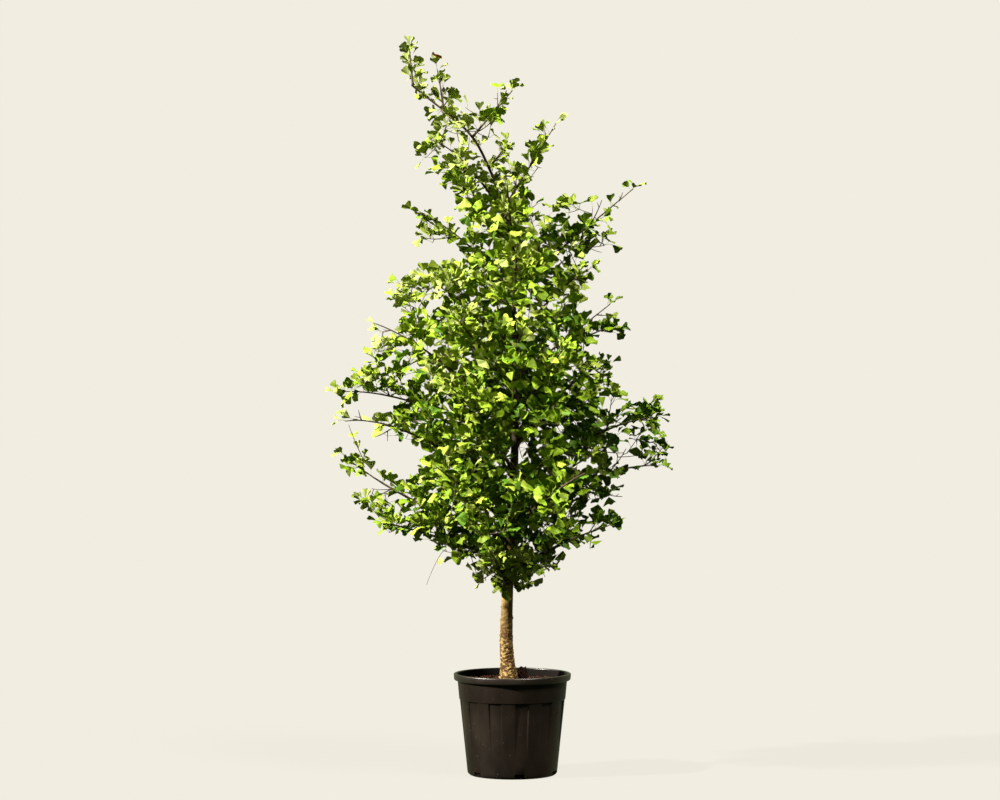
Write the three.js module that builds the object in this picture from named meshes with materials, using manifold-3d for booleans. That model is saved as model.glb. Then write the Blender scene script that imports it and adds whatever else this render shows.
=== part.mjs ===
// A young ginkgo tree in a black nursery pot, as separate solids: the pot, its soil, the trunk, the
// boughs, and the masses of foliage that grow on from the boughs' ends and from the upper trunk.
// Millimetres, +Z up, +X to the right, +Y to the back. The origin is the centre of the pot's underside.
import * as THREE from "three";
import { mergeVertices } from "three/addons/utils/BufferGeometryUtils.js";
import Module from "manifold-3d";

const wasm = await Module();
wasm.setup();

// ---------------------------------------------------------------- driving dimensions: pot and soil

const GAP = 0.3; // clearance between neighbouring solids

const POT_HEIGHT = 344;
const RIM_RADIUS = 200;
const MOUTH_RADIUS = 188;
const LIP_HEIGHT = 22; // the rim's band hangs down this far
const RIM_EDGE = { width: 3, height: 4 }; // the bevels along the top and the foot of the rim's band
const RIM_DRAFT = 1; // the rim's band is this much narrower at its foot
const MOUTH_FLARE = 2; // the mouth opens by this much in its last RIM_EDGE.width
const SHOULDER_RADIUS = 186; // the wall under the rim's band
const SHOULDER_DROP = 10; // how far under the band the wall reaches that radius
const BAND_FOOT = 256; // a plain band runs from the shoulder down to a small step here
const BAND_RADIUS = 181;
const STEP_HEIGHT = 2;
const WALL_TOP_RADIUS = 178.6;
const WALL_FOOT = 15;
const WALL_FOOT_RADIUS = 153.5;
const BASE_RADIUS = 139; // the flat underside
const WALL_THICKNESS = 6;
const FLOOR_THICKNESS = 8;
const POT_SIDES = 48;

const PANEL_COUNT = 12; // shallow upright panels pressed into the wall
const PANEL_WIDTH = 44;
const PANEL_DEPTH = 3.5; // at the top, fading out at the panel's foot
const PANEL_FOOT = 75;
const PANEL_BEARING = 10.5; // degrees from the front to the middle of the first panel
const CUTTER_REACH = 30; // how far a cutter stands out past the wall

const NOTCH_COUNT = 6; // drain notches round the foot
const NOTCH_WIDTH = 34;
const NOTCH_HEIGHT = 17;
const NOTCH_BEARING = 9;
const NOTCH_ROOT_RADIUS = 142;

const SOIL_LEVEL = 315;
const SOIL_RIPPLE = 5; // height of the lumps in the soil, away from the trunk
const SOIL_RINGS = [66, 122]; // radii of the rings that carry the lumps
const LUMP_PITCH = { x: 17, y: 21 }; // mm for each radian of the waves that make the lumps
const SOIL_CLEARANCE = GAP + 0.1; // from the pot's wall
const CLOD = { x: 36, y: 34, radius: 13, flatness: 0.8 }; // a piece of bark lying beside the trunk

// ---------------------------------------------------------------- driving dimensions: trunk and shoots

// The trunk's centreline and girth, from the soil to the tip of the leader.
const TRUNK_STATIONS = [
  { z: SOIL_LEVEL + GAP, x: -14.5, y: 1, radius: 27 },
  { z: 350, x: -14.5, y: 1, radius: 23.5 },
  { z: 433, x: -20, y: 3, radius: 20 },
  { z: 600, x: -17, y: 2, radius: 17 },
  { z: 1055, x: 6, y: -5, radius: 13.5 },
  { z: 1290, x: 13, y: -2, radius: 10.5 },
  { z: 1515, x: 6, y: 5, radius: 8 },
  { z: 1805, x: 1, y: 9, radius: 6 },
  { z: 1932, x: -33, y: 8, radius: 5.2 },
  { z: 2063, x: -78, y: 6, radius: 4.6 },
  { z: 2190, x: -152, y: 3, radius: 4 },
  { z: 2345, x: -339, y: 0, radius: 3 },
];
const TRUNK_SIDES = 10;
const TRUNK_STEPS = 22;

// Each shoot leaves the trunk at its foot's height and heads out on its azimuth (0 is +X, 90 is +Y).
// Reach and rise lead to its furthest tip. With arch 0 it sweeps up at its end, with 1 it arches over.
const BOUGH_SHOOTS = [
  { name: "low_left", foot: 720, azimuth: 192, reach: 480, rise: 150, arch: 0.5 },
  { name: "low_right", foot: 690, azimuth: 348, reach: 385, rise: 170, arch: 0.5 },
  { name: "low_front", foot: 645, azimuth: 256, reach: 300, rise: 150, arch: 0.4 },
  { name: "low_back", foot: 655, azimuth: 76, reach: 320, rise: 150, arch: 0.4 },
  { name: "sweep_left", foot: 800, azimuth: 169, reach: 618, rise: 313, arch: 0 },
  { name: "sweep_right", foot: 860, azimuth: 6, reach: 549, rise: 182, arch: 1 },
  { name: "front_left", foot: 850, azimuth: 234, reach: 470, rise: 230, arch: 0.3 },
  { name: "front_right", foot: 830, azimuth: 303, reach: 480, rise: 215, arch: 0.5 },
  { name: "back_left", foot: 880, azimuth: 128, reach: 490, rise: 240, arch: 0.4 },
  { name: "back_right", foot: 875, azimuth: 46, reach: 500, rise: 225, arch: 0.6 },
  { name: "long_left", foot: 930, azimuth: 194, reach: 615, rise: 265, arch: 1 },
  { name: "long_right", foot: 980, azimuth: 347, reach: 531, rise: 235, arch: 0.8 },
  { name: "mid_left", foot: 1115, azimuth: 175, reach: 642, rise: 181, arch: 1 },
  { name: "mid_front", foot: 1030, azimuth: 240, reach: 450, rise: 300, arch: 0.5 },
  { name: "mid_back", foot: 1060, azimuth: 86, reach: 460, rise: 280, arch: 0.5 },
  { name: "mid_right", foot: 1110, azimuth: 4, reach: 350, rise: 285, arch: 0.8 },
  { name: "high_left", foot: 1180, azimuth: 189, reach: 517, rise: 362, arch: 0.6 },
  { name: "high_right", foot: 1230, azimuth: 351, reach: 377, rise: 275, arch: 1 },
  { name: "high_front", foot: 1200, azimuth: 298, reach: 410, rise: 290, arch: 0.4 },
];
const TRUNK_SHOOTS = [
  { name: "high_back", foot: 1220, azimuth: 122, reach: 420, rise: 300, arch: 0.5 },
  { name: "upper_left", foot: 1320, azimuth: 161, reach: 434, rise: 302, arch: 0.5 },
  { name: "upper_front", foot: 1280, azimuth: 232, reach: 380, rise: 300, arch: 0.4 },
  { name: "upper_back", foot: 1260, azimuth: 50, reach: 390, rise: 300, arch: 0.4 },
  { name: "upper_right", foot: 1350, azimuth: 17, reach: 374, rise: 281, arch: 0.3 },
  { name: "crown_left", foot: 1450, azimuth: 199, reach: 361, rise: 255, arch: 0.5 },
  { name: "crown_right", foot: 1480, azimuth: 342, reach: 296, rise: 247, arch: 0.6 },
  { name: "crown_front", foot: 1540, azimuth: 272, reach: 300, rise: 280, arch: 0.4 },
  { name: "crown_back", foot: 1570, azimuth: 95, reach: 300, rise: 290, arch: 0.4 },
  { name: "arm_left", foot: 1640, azimuth: 174, reach: 374, rise: 283, arch: 0.7 },
  { name: "arm_right", foot: 1660, azimuth: 4, reach: 441, rise: 365, arch: 0.3 },
  { name: "neck_front", foot: 1780, azimuth: 262, reach: 215, rise: 290, arch: 0.4 },
  { name: "neck_back", foot: 1830, azimuth: 84, reach: 215, rise: 270, arch: 0.4 },
  { name: "spire_left", foot: 1900, azimuth: 188, reach: 285, rise: 258, arch: 0.8 },
  { name: "spire_right", foot: 1925, azimuth: 6, reach: 205, rise: 335, arch: 0.3 },
  { name: "top_middle", foot: 2066, azimuth: 10, reach: 104, rise: 120, arch: 0.4 },
  { name: "top_right", foot: 2172, azimuth: 348, reach: 169, rise: 188, arch: 0.3 },
  { name: "leader_side", foot: 2262, azimuth: 160, reach: 34, rise: 176, arch: 0.5 },
  { name: "leader", foot: 2345, azimuth: 180, reach: 17, rise: 158, arch: 0.5 },
];

// The two handles of a shoot's curve: how far out and up they stand, as shares of its reach and rise,
// and what a full arch adds to how far up.
const SHOOT_HANDLES = [
  { out: 0.35, up: 0.2, arched: 0.5 },
  { out: 0.75, up: 0.55, arched: 0.65 },
];
const BOUGH_SHARE = 0.16; // the share of a shoot that is its bare bough
const BOUGH_SIDES = 5;
const BOUGH_STEPS = 4;
const SHOOT_GIRTH = 0.5; // a shoot's root radius as a share of the trunk's there
const SHOOT_LEAST_RADIUS = 4.4;
const SHOOT_TIP_RADIUS = 3;

// ---------------------------------------------------------------- driving dimensions: twigs and leaves

const TWIG_SIDES = 3;
const STEM_STEPS = 4;
const TWIG_SPACING = 88; // along the stem
const TWIG_CROWDING = 1.7; // above 1 the twigs crowd towards the stem's root
const TWIG_LEAN = [40, 75]; // degrees away from the stem
const TWIG_SHARES = [0.42, 0.68]; // a twig's length as a share of the stem that is left beyond it
const TWIG_LIFT = 0.12; // how far a twig's end is raised, as a share of its length
const TWIG_RADII = [2.8, 2.4];

const LEAF_SPACING = 39; // along stems and twigs
const LEAF_LENGTHS = [74, 122]; // from a stem's tip to LEAF_GROWTH back along it
const LEAF_GROWTH = 420;
const LEAF_SPREAD = 0.1; // a leaf's length is this share above or below that
const LEAF_SHRINK = 0.05; // a leaf that doesn't fit is tried again this share shorter
const LEAF_LEAN = [46, 80]; // degrees away from the twig
const LEAF_WIDTH = 0.98; // the sizes from here are shares of the leaf's length
const LEAF_CORNER = 0.76; // how far out the fan's two corners are
const LEAF_THICKNESS = 0.044; // where its midline crosses the line between the corners
const LEAF_SINK = 0.8; // mm that the root is sunk past the twig's middle
const LEAF_ROLL = 55; // degrees that a blade may turn from level about its own length
const LEAF_TRIES = 9;
const LEAF_MARGIN = 1.5; // mm that a leaf keeps from everything but its own twig
const SPACE_MARGIN = 3; // mm that a mass keeps to its own side of the line to the next stem

const GOLDEN_ANGLE = 137.5; // degrees from one twig to the next round its stem
const FACE_ANGLES = [30, 150, 270]; // the middles of a three-sided twig's faces, where leaves grow
const SEED = 50;

// ---------------------------------------------------------------- materials

const BLACK_PLASTIC = new THREE.MeshStandardMaterial({ color: 0x1d1a18, roughness: 0.45 });
const PEAT = new THREE.MeshStandardMaterial({ color: 0x4a2c1d, roughness: 0.95 });
const BARK = new THREE.MeshStandardMaterial({ color: 0x9a7b52, roughness: 0.85 });
const YOUNG_BARK = new THREE.MeshStandardMaterial({ color: 0x8a7a48, roughness: 0.8 });
const FOLIAGE = new THREE.MeshStandardMaterial({ color: 0x7fae2a, roughness: 0.55 });

// ---------------------------------------------------------------- general helpers

const UP = new THREE.Vector3(0, 0, 1);
const BACK = new THREE.Vector3(0, 1, 0);
const ALONG_BACK = 0.8; // above this share of BACK a direction is too close to it to be turned from it
const { degToRad, lerp } = THREE.MathUtils;

// A small seeded generator: the same seed always grows the same twigs.
function seededRandom(seed) {
  let state = seed;
  return () => {
    state = (state + 0x6d2b79f5) | 0;
    let mixed = Math.imul(state ^ (state >>> 15), 1 | state);
    mixed = (mixed + Math.imul(mixed ^ (mixed >>> 7), 61 | mixed)) ^ mixed;
    return ((mixed ^ (mixed >>> 14)) >>> 0) / 4294967296;
  };
}

function between([low, high], share) {
  return lerp(low, high, share);
}

function solidOf(geometry) {
  const bare = geometry.clone();
  bare.deleteAttribute("normal");
  bare.deleteAttribute("uv");
  const merged = mergeVertices(bare, 1e-4);
  return new wasm.Manifold(
    new wasm.Mesh({
      numProp: 3,
      vertProperties: merged.attributes.position.array,
      triVerts: new Uint32Array(merged.index.array),
    }),
  );
}

// The largest body of a solid, so that loose scraps are dropped and sealed hollows are filled.
function mainBody(solid) {
  return solid.decompose().reduce((best, body) => (body.volume() > best.volume() ? body : best));
}

function meshOf(name, solid, material) {
  const { vertProperties, triVerts } = solid.getMesh();
  const geometry = new THREE.BufferGeometry();
  geometry.setAttribute("position", new THREE.BufferAttribute(vertProperties, 3));
  geometry.setIndex(new THREE.BufferAttribute(triVerts, 1));
  geometry.computeVertexNormals();
  const mesh = new THREE.Mesh(geometry, material);
  mesh.name = name;
  return mesh;
}

// ---------------------------------------------------------------- pot and soil

// A turned shape from [radius, height] pairs. Its first edge is at PANEL_BEARING from the front.
function turned(profile) {
  const points = profile.map(([radius, height]) => new THREE.Vector2(radius, height));
  const geometry = new THREE.LatheGeometry(points, POT_SIDES, degToRad(PANEL_BEARING));
  return geometry.rotateX(Math.PI / 2);
}

const LIP_FOOT = POT_HEIGHT - LIP_HEIGHT;
const POT_OUTSIDE = [
  [BASE_RADIUS, 0],
  [WALL_FOOT_RADIUS, WALL_FOOT],
  [WALL_TOP_RADIUS, BAND_FOOT],
  [BAND_RADIUS, BAND_FOOT + STEP_HEIGHT],
  [SHOULDER_RADIUS, LIP_FOOT - SHOULDER_DROP],
  [SHOULDER_RADIUS + RIM_DRAFT, LIP_FOOT],
  [RIM_RADIUS - RIM_EDGE.width, LIP_FOOT],
  [RIM_RADIUS - RIM_DRAFT, LIP_FOOT + RIM_EDGE.height],
  [RIM_RADIUS, POT_HEIGHT - RIM_EDGE.height],
  [RIM_RADIUS - RIM_EDGE.width, POT_HEIGHT],
];
const POT_INSIDE = [
  [WALL_FOOT_RADIUS - WALL_THICKNESS, FLOOR_THICKNESS],
  [WALL_TOP_RADIUS - WALL_THICKNESS, BAND_FOOT],
  [SHOULDER_RADIUS - WALL_THICKNESS, LIP_FOOT - SHOULDER_DROP],
  [MOUTH_RADIUS, POT_HEIGHT - RIM_EDGE.width],
  [MOUTH_RADIUS + MOUTH_FLARE, POT_HEIGHT],
];

function wallRadius(height) {
  const share = (height - WALL_FOOT) / (BAND_FOOT - WALL_FOOT);
  return lerp(WALL_FOOT_RADIUS, WALL_TOP_RADIUS, share);
}

// Turns a cutter, made with its outside towards +Y, to a bearing in degrees from the front.
function atBearing(geometry, bearing) {
  return solidOf(geometry.rotateZ(Math.PI + degToRad(bearing)));
}

// One panel's cutter: a leaning block whose inner face starts PANEL_DEPTH inside the wall at the
// panel's top and meets the wall at its foot.
function panelCutter(bearing) {
  const topRadius = WALL_TOP_RADIUS - PANEL_DEPTH;
  const height = BAND_FOOT - PANEL_FOOT;
  const lean = Math.atan2(topRadius - wallRadius(PANEL_FOOT), height);
  const length = height / Math.cos(lean);
  const block = new THREE.BoxGeometry(PANEL_WIDTH, CUTTER_REACH, length);
  block.translate(0, CUTTER_REACH / 2, -length / 2).rotateX(-lean).translate(0, topRadius, BAND_FOOT);
  return atBearing(block, bearing);
}

function notchCutter(bearing) {
  const block = new THREE.BoxGeometry(NOTCH_WIDTH, CUTTER_REACH, 2 * NOTCH_HEIGHT);
  return atBearing(block.translate(0, NOTCH_ROOT_RADIUS + CUTTER_REACH / 2, 0), bearing);
}

function makePot() {
  const profile = [[0, 0], ...POT_OUTSIDE, ...POT_INSIDE.slice().reverse(), [0, FLOOR_THICKNESS]];
  let pot = solidOf(turned(profile));
  for (let i = 0; i < PANEL_COUNT; i++) {
    pot = pot.subtract(panelCutter(PANEL_BEARING + (360 / PANEL_COUNT) * i));
  }
  for (let i = 0; i < NOTCH_COUNT; i++) {
    pot = pot.subtract(notchCutter(NOTCH_BEARING + (360 / NOTCH_COUNT) * i));
  }
  return pot;
}

// Lumps in the soil's top, none of them under the trunk or against the pot.
function soilRipple(x, y) {
  return (SOIL_RIPPLE * (1 + Math.sin(x / LUMP_PITCH.x) * Math.cos(y / LUMP_PITCH.y))) / 2;
}

function makeSoil() {
  const [floorCorner, bandCorner, shoulderCorner, mouthCorner] = POT_INSIDE;
  const fill = (SOIL_LEVEL - shoulderCorner[1]) / (mouthCorner[1] - shoulderCorner[1]);
  const edgeRadius = lerp(shoulderCorner[0], mouthCorner[0], fill) - SOIL_CLEARANCE;
  const geometry = turned([
    [0, floorCorner[1] + GAP],
    [floorCorner[0] - SOIL_CLEARANCE, floorCorner[1] + GAP],
    [bandCorner[0] - SOIL_CLEARANCE, bandCorner[1]],
    [shoulderCorner[0] - SOIL_CLEARANCE, shoulderCorner[1]],
    [edgeRadius, SOIL_LEVEL],
    ...SOIL_RINGS.slice().reverse().map((radius) => [radius, SOIL_LEVEL]),
    [0, SOIL_LEVEL],
  ]);
  const position = geometry.attributes.position;
  for (let i = 0; i < position.count; i++) {
    const radius = Math.hypot(position.getX(i), position.getY(i));
    const carriesLumps = radius > SOIL_RINGS[0] + 1 && radius < edgeRadius - 1;
    if (position.getZ(i) > SOIL_LEVEL - 1 && carriesLumps) {
      position.setZ(i, SOIL_LEVEL + soilRipple(position.getX(i), position.getY(i)));
    }
  }
  const clod = new THREE.IcosahedronGeometry(CLOD.radius);
  clod.scale(1, 1, CLOD.flatness).translate(CLOD.x, CLOD.y, SOIL_LEVEL);
  return solidOf(geometry).add(solidOf(clod));
}

// ---------------------------------------------------------------- trunk and limbs

// A smooth reading between the trunk's stations: a cubic through them with slopes from their neighbours.
function trunkValue(height, key) {
  const last = TRUNK_STATIONS.length - 1;
  let i = 0;
  while (i < last - 1 && height > TRUNK_STATIONS[i + 1].z) i++;
  const slope = (k) => {
    const before = TRUNK_STATIONS[Math.max(k - 1, 0)];
    const after = TRUNK_STATIONS[Math.min(k + 1, last)];
    return (after[key] - before[key]) / (after.z - before.z);
  };
  const [lower, upper] = [TRUNK_STATIONS[i], TRUNK_STATIONS[i + 1]];
  const span = upper.z - lower.z;
  const s = (height - lower.z) / span;
  return (
    lower[key] * (1 + 2 * s) * (1 - s) ** 2 +
    upper[key] * s * s * (3 - 2 * s) +
    span * (slope(i) * s * (1 - s) ** 2 - slope(i + 1) * s * s * (1 - s))
  );
}

const TRUNK_FOOT = TRUNK_STATIONS[0].z;
const TRUNK_TIP = TRUNK_STATIONS[TRUNK_STATIONS.length - 1].z;

class TrunkLine extends THREE.Curve {
  getPoint(share, target = new THREE.Vector3()) {
    const height = lerp(TRUNK_FOOT, TRUNK_TIP, share);
    return target.set(trunkValue(height, "x"), trunkValue(height, "y"), height);
  }
}
const trunkLine = new TrunkLine();

// Places along part of a curve, each with a normal carried on from the last so that nothing twists.
function stationsAlong(curve, from, to, steps) {
  const stations = [];
  let normal = Math.abs(curve.getTangent(from).dot(BACK)) < ALONG_BACK ? BACK : UP;
  for (let i = 0; i <= steps; i++) {
    const share = lerp(from, to, i / steps);
    const tangent = curve.getTangent(share);
    normal = normal.clone().addScaledVector(tangent, -normal.dot(tangent)).normalize();
    const side = normal.clone().cross(tangent);
    stations.push({ centre: curve.getPoint(share), tangent, normal, side });
  }
  return stations;
}

// A limb through a row of stations: a unit cylinder whose rings are carried to them.
function limbSolid(stations, radiusAt, sides) {
  const steps = stations.length - 1;
  const geometry = new THREE.CylinderGeometry(1, 1, 1, sides, steps);
  const position = geometry.attributes.position;
  for (let i = 0; i < position.count; i++) {
    const share = position.getY(i) + 0.5;
    const radius = radiusAt(share);
    const { centre, normal, side } = stations[Math.round(share * steps)];
    const point = centre.clone();
    point.addScaledVector(normal, position.getX(i) * radius);
    point.addScaledVector(side, position.getZ(i) * radius);
    position.setXYZ(i, point.x, point.y, point.z);
  }
  return solidOf(geometry);
}

// The trunk, or with some extra the sleeve of clear space that its neighbours keep off.
function trunkSolid(extra = 0) {
  const stations = stationsAlong(trunkLine, 0, 1, TRUNK_STEPS);
  const tip = stations[TRUNK_STEPS];
  tip.centre.addScaledVector(tip.tangent, extra);
  const radiusAt = (share) => trunkValue(lerp(TRUNK_FOOT, TRUNK_TIP, share), "radius") + extra;
  return limbSolid(stations, radiusAt, TRUNK_SIDES);
}

// ---------------------------------------------------------------- shoots

function shootCurve({ foot, azimuth, reach, rise, arch }) {
  const start = trunkLine.getPoint((foot - TRUNK_FOOT) / (TRUNK_TIP - TRUNK_FOOT));
  const out = new THREE.Vector3(1, 0, 0).applyAxisAngle(UP, degToRad(azimuth));
  const pointAt = (outShare, upShare) =>
    start.clone().addScaledVector(out, outShare * reach).addScaledVector(UP, upShare * rise);
  const handles = SHOOT_HANDLES.map((handle) => pointAt(handle.out, handle.up + handle.arched * arch));
  return new THREE.CubicBezierCurve3(start, ...handles, pointAt(1, 1));
}

// Everything that a shoot's bough and stem share: the curve, the girth and where each part ends.
function planShoot(row, index, boughShare) {
  const curve = shootCurve(row);
  const rootRadius = Math.max(trunkValue(row.foot, "radius") * SHOOT_GIRTH, SHOOT_LEAST_RADIUS);
  const radiusAt = (share) => lerp(rootRadius, SHOOT_TIP_RADIUS, share);
  const nudge = 1e-3;
  const speed = curve.getPoint(boughShare + nudge).distanceTo(curve.getPoint(boughShare)) / nudge;
  const stemFrom = boughShare > 0 ? boughShare + GAP / speed : 0;
  const stemTo = 1 - LEAF_LENGTHS[0] / curve.getLength(); // the last leaf reaches the shoot's tip
  return { name: row.name, index, curve, radiusAt, boughShare, stemFrom, stemTo };
}

const shoots = [
  ...BOUGH_SHOOTS.map((row, i) => planShoot(row, i, BOUGH_SHARE)),
  ...TRUNK_SHOOTS.map((row, i) => planShoot(row, BOUGH_SHOOTS.length + i, 0)),
];

function makeBough({ curve, boughShare, radiusAt }, trunkSleeve) {
  const stations = stationsAlong(curve, 0, boughShare, BOUGH_STEPS);
  const bough = limbSolid(stations, (share) => radiusAt(share * boughShare), BOUGH_SIDES);
  return mainBody(bough.subtract(trunkSleeve));
}

// A stem or twig, which carries leaves.
function makeCarrier(stations, radiusAt) {
  const gaps = stations.slice(1).map(({ centre }, i) => centre.distanceTo(stations[i].centre));
  const length = gaps.reduce((sum, gap) => sum + gap);
  return { stations, length, solid: limbSolid(stations, radiusAt, TWIG_SIDES) };
}

function makeStem({ curve, boughShare, radiusAt, stemFrom, stemTo }, trunkSleeve) {
  const stations = stationsAlong(curve, stemFrom, stemTo, STEM_STEPS);
  const stem = makeCarrier(stations, (share) => radiusAt(lerp(stemFrom, stemTo, share)));
  if (boughShare === 0) {
    stem.solid = mainBody(stem.solid.subtract(trunkSleeve));
  }
  return stem;
}

// A place at a share of a carrier's length, on the straight line between two of its stations.
function placeOn({ stations }, share) {
  const steps = stations.length - 1;
  const i = Math.min(Math.floor(share * steps), steps - 1);
  const centre = stations[i].centre.clone().lerp(stations[i + 1].centre, share * steps - i);
  const tangent = stations[i + 1].centre.clone().sub(stations[i].centre).normalize();
  return { centre, tangent, normal: stations[i].normal, side: stations[i].side };
}

// ---------------------------------------------------------------- the space of each mass

const SPACE_SAMPLES = 10;
const stemLines = shoots.map((shoot) => {
  const line = [];
  for (let i = 0; i <= SPACE_SAMPLES; i++) {
    line.push(shoot.curve.getPoint(lerp(shoot.stemFrom, 1, i / SPACE_SAMPLES)));
  }
  return line;
});

const nearest = new THREE.Vector3();
const piece = new THREE.Line3();
function distanceToLine(point, line) {
  let least = Infinity;
  for (let i = 0; i + 1 < line.length; i++) {
    piece.set(line[i], line[i + 1]).closestPointToPoint(point, true, nearest);
    least = Math.min(least, nearest.distanceTo(point));
  }
  return least;
}

// A point belongs to the mass whose stem is nearest, and a mass keeps a margin from its border.
function isInSpace(point, index) {
  const own = distanceToLine(point, stemLines[index]) + SPACE_MARGIN;
  return stemLines.every((line, i) => i === index || distanceToLine(point, line) > own);
}

// Solids that are already in place, each tested only against those whose boxes it meets.
const placed = [];

function place(solid) {
  placed.push({ solid, box: solid.boundingBox() });
  return solid;
}

function boxesMeet(a, b) {
  return [0, 1, 2].every((k) => a.min[k] <= b.max[k] && b.min[k] <= a.max[k]);
}

function isClear(solid, carrierSolid) {
  const box = solid.boundingBox();
  return placed.every(
    (other) =>
      other.solid === carrierSolid ||
      !boxesMeet(box, other.box) ||
      other.solid.intersect(solid).isEmpty(),
  );
}

// ---------------------------------------------------------------- twigs and leaves

// A direction that leans away from a carrier at one of its places, turned round it by an angle.
function leaningFrom({ tangent, normal, side }, turn, lean) {
  const outward = normal.clone().multiplyScalar(Math.cos(degToRad(turn)));
  outward.addScaledVector(side, Math.sin(degToRad(turn)));
  return tangent
    .clone()
    .multiplyScalar(Math.cos(degToRad(lean)))
    .addScaledVector(outward, Math.sin(degToRad(lean)));
}

function growTwigs(stem, index, random) {
  const count = Math.round(stem.length / TWIG_SPACING);
  const firstTurn = 360 * random();
  const twigs = [];
  for (let i = 0; i < count; i++) {
    const share = ((i + 0.5) / count) ** TWIG_CROWDING;
    const root = placeOn(stem, share);
    const direction = leaningFrom(root, firstTurn + GOLDEN_ANGLE * i, between(TWIG_LEAN, random()));
    const reach = stem.length * between(TWIG_SHARES, random()) * (1 - share);
    const end = root.centre.clone().addScaledVector(direction, reach);
    end.addScaledVector(UP, TWIG_LIFT * reach);
    const line = new THREE.LineCurve3(root.centre, end);
    const twig = makeCarrier(stationsAlong(line, 0, 1, 1), (along) => between(TWIG_RADII, along));
    if (isInSpace(end, index) && isClear(twig.solid, stem.solid)) {
      place(twig.solid);
      twigs.push(twig);
    }
  }
  return twigs;
}

// The four points of a leaf, as shares of its length: across, along and through.
const LEAF_ROOT = [0, 0, 0];
const LEAF_TIP = [0, 1, LEAF_THICKNESS / 2];
const LEAF_CORNERS = [-1, 1].map((hand) => [
  (hand * LEAF_WIDTH) / 2,
  LEAF_CORNER,
  -LEAF_THICKNESS / 2,
]);

function pointOnLeaf({ root, along, across, length }, [x, y, z], grown = 0) {
  const through = across.clone().cross(along);
  return root
    .clone()
    .addScaledVector(across, x * length + Math.sign(x) * grown)
    .addScaledVector(along, y > 0 ? y * length + grown : -LEAF_SINK)
    .addScaledVector(through, z * length + (Math.sign(z) * grown) / 2);
}

// One leaf: a thin tetrahedron drawn out into a fan. One edge is its midline, from the root to the
// tip, and the opposite edge lies across it between the fan's two corners.
function leafSolid(leaf, grown = 0) {
  const geometry = new THREE.TetrahedronGeometry(1);
  const position = geometry.attributes.position;
  for (let i = 0; i < position.count; i++) {
    const midlineShare = position.getY(i) > 0 ? LEAF_TIP : LEAF_ROOT;
    const cornerShare = LEAF_CORNERS[position.getX(i) < 0 ? 0 : 1];
    const share = position.getZ(i) > 0 ? midlineShare : cornerShare;
    const point = pointOnLeaf(leaf, share, grown);
    position.setXYZ(i, point.x, point.y, point.z);
  }
  return solidOf(geometry);
}

function leafStaysInSpace(leaf, index) {
  return [LEAF_TIP, ...LEAF_CORNERS].every((share) => isInSpace(pointOnLeaf(leaf, share), index));
}

// Tries a few ways round and keeps the first leaf that stays in the space and touches nothing.
function growLeaf(station, carrier, mass, face, leans) {
  const { stem, random, shoot } = mass;
  const fromTip = station.centre.distanceTo(stem.stations[STEM_STEPS].centre);
  const spread = lerp(1 - LEAF_SPREAD, 1 + LEAF_SPREAD, random());
  const fullLength = between(LEAF_LENGTHS, Math.min(fromTip / LEAF_GROWTH, 1)) * spread;
  for (let attempt = 0; attempt < LEAF_TRIES; attempt++) {
    const turn = FACE_ANGLES[(face + attempt) % FACE_ANGLES.length];
    const along = leaningFrom(station, turn, between(leans, random()));
    const level = along.clone().cross(UP).normalize();
    const leaf = {
      root: station.centre,
      along,
      across: level.applyAxisAngle(along, degToRad(lerp(-LEAF_ROLL, LEAF_ROLL, random()))),
      length: fullLength * (1 - LEAF_SHRINK * attempt),
    };
    if (leafStaysInSpace(leaf, shoot.index) && isClear(leafSolid(leaf, LEAF_MARGIN), carrier.solid)) {
      return place(leafSolid(leaf));
    }
  }
  return null;
}

function growLeaves(carrier, mass) {
  const count = Math.max(1, Math.round(carrier.length / LEAF_SPACING));
  const leaves = [];
  for (let i = 0; i < count; i++) {
    leaves.push(growLeaf(placeOn(carrier, (i + 0.5) / count), carrier, mass, i, LEAF_LEAN));
  }
  const tip = placeOn(carrier, 1);
  tip.centre.addScaledVector(tip.tangent, -LEAF_SINK);
  leaves.push(growLeaf(tip, carrier, mass, 0, [0, 0]));
  return leaves.filter(Boolean);
}

// ---------------------------------------------------------------- assembly

const tree = new THREE.Group();
const trunkSleeve = trunkSolid(GAP);

tree.add(meshOf("pot", makePot(), BLACK_PLASTIC));
tree.add(meshOf("soil", makeSoil(), PEAT));
tree.add(meshOf("trunk", place(trunkSolid()), BARK));

for (const shoot of shoots.filter(({ boughShare }) => boughShare > 0)) {
  tree.add(meshOf("bough_" + shoot.name, place(makeBough(shoot, trunkSleeve)), YOUNG_BARK));
}

const masses = shoots.map((shoot) => {
  const stem = makeStem(shoot, trunkSleeve);
  place(stem.solid);
  return { shoot, stem, random: seededRandom(SEED + shoot.index) };
});
for (const mass of masses) {
  mass.carriers = [mass.stem, ...growTwigs(mass.stem, mass.shoot.index, mass.random)];
}
for (const mass of masses) {
  mass.leaves = mass.carriers.flatMap((carrier) => growLeaves(carrier, mass));
}
for (const { shoot, carriers, leaves } of masses) {
  const parts = [...carriers.map(({ solid }) => solid), ...leaves];
  const fused = mainBody(parts.reduce((whole, part) => whole.add(part)));
  tree.add(meshOf("foliage_" + shoot.name, fused, FOLIAGE));
}

export default tree;
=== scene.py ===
# %% [markdown]
# # A young ginkgo in a black nursery pot
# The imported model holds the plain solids: pot, soil, trunk, boughs and masses of foliage. This lesson
# dresses each of them with a finer mesh and its own material. It starts by loading those solids and by
# keeping the size of their box, because the finished tree may not grow out of it.

# %% Load the solids
import math

import bmesh
import bpy
import numpy as np
from mathutils import Matrix, Vector, noise


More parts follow.
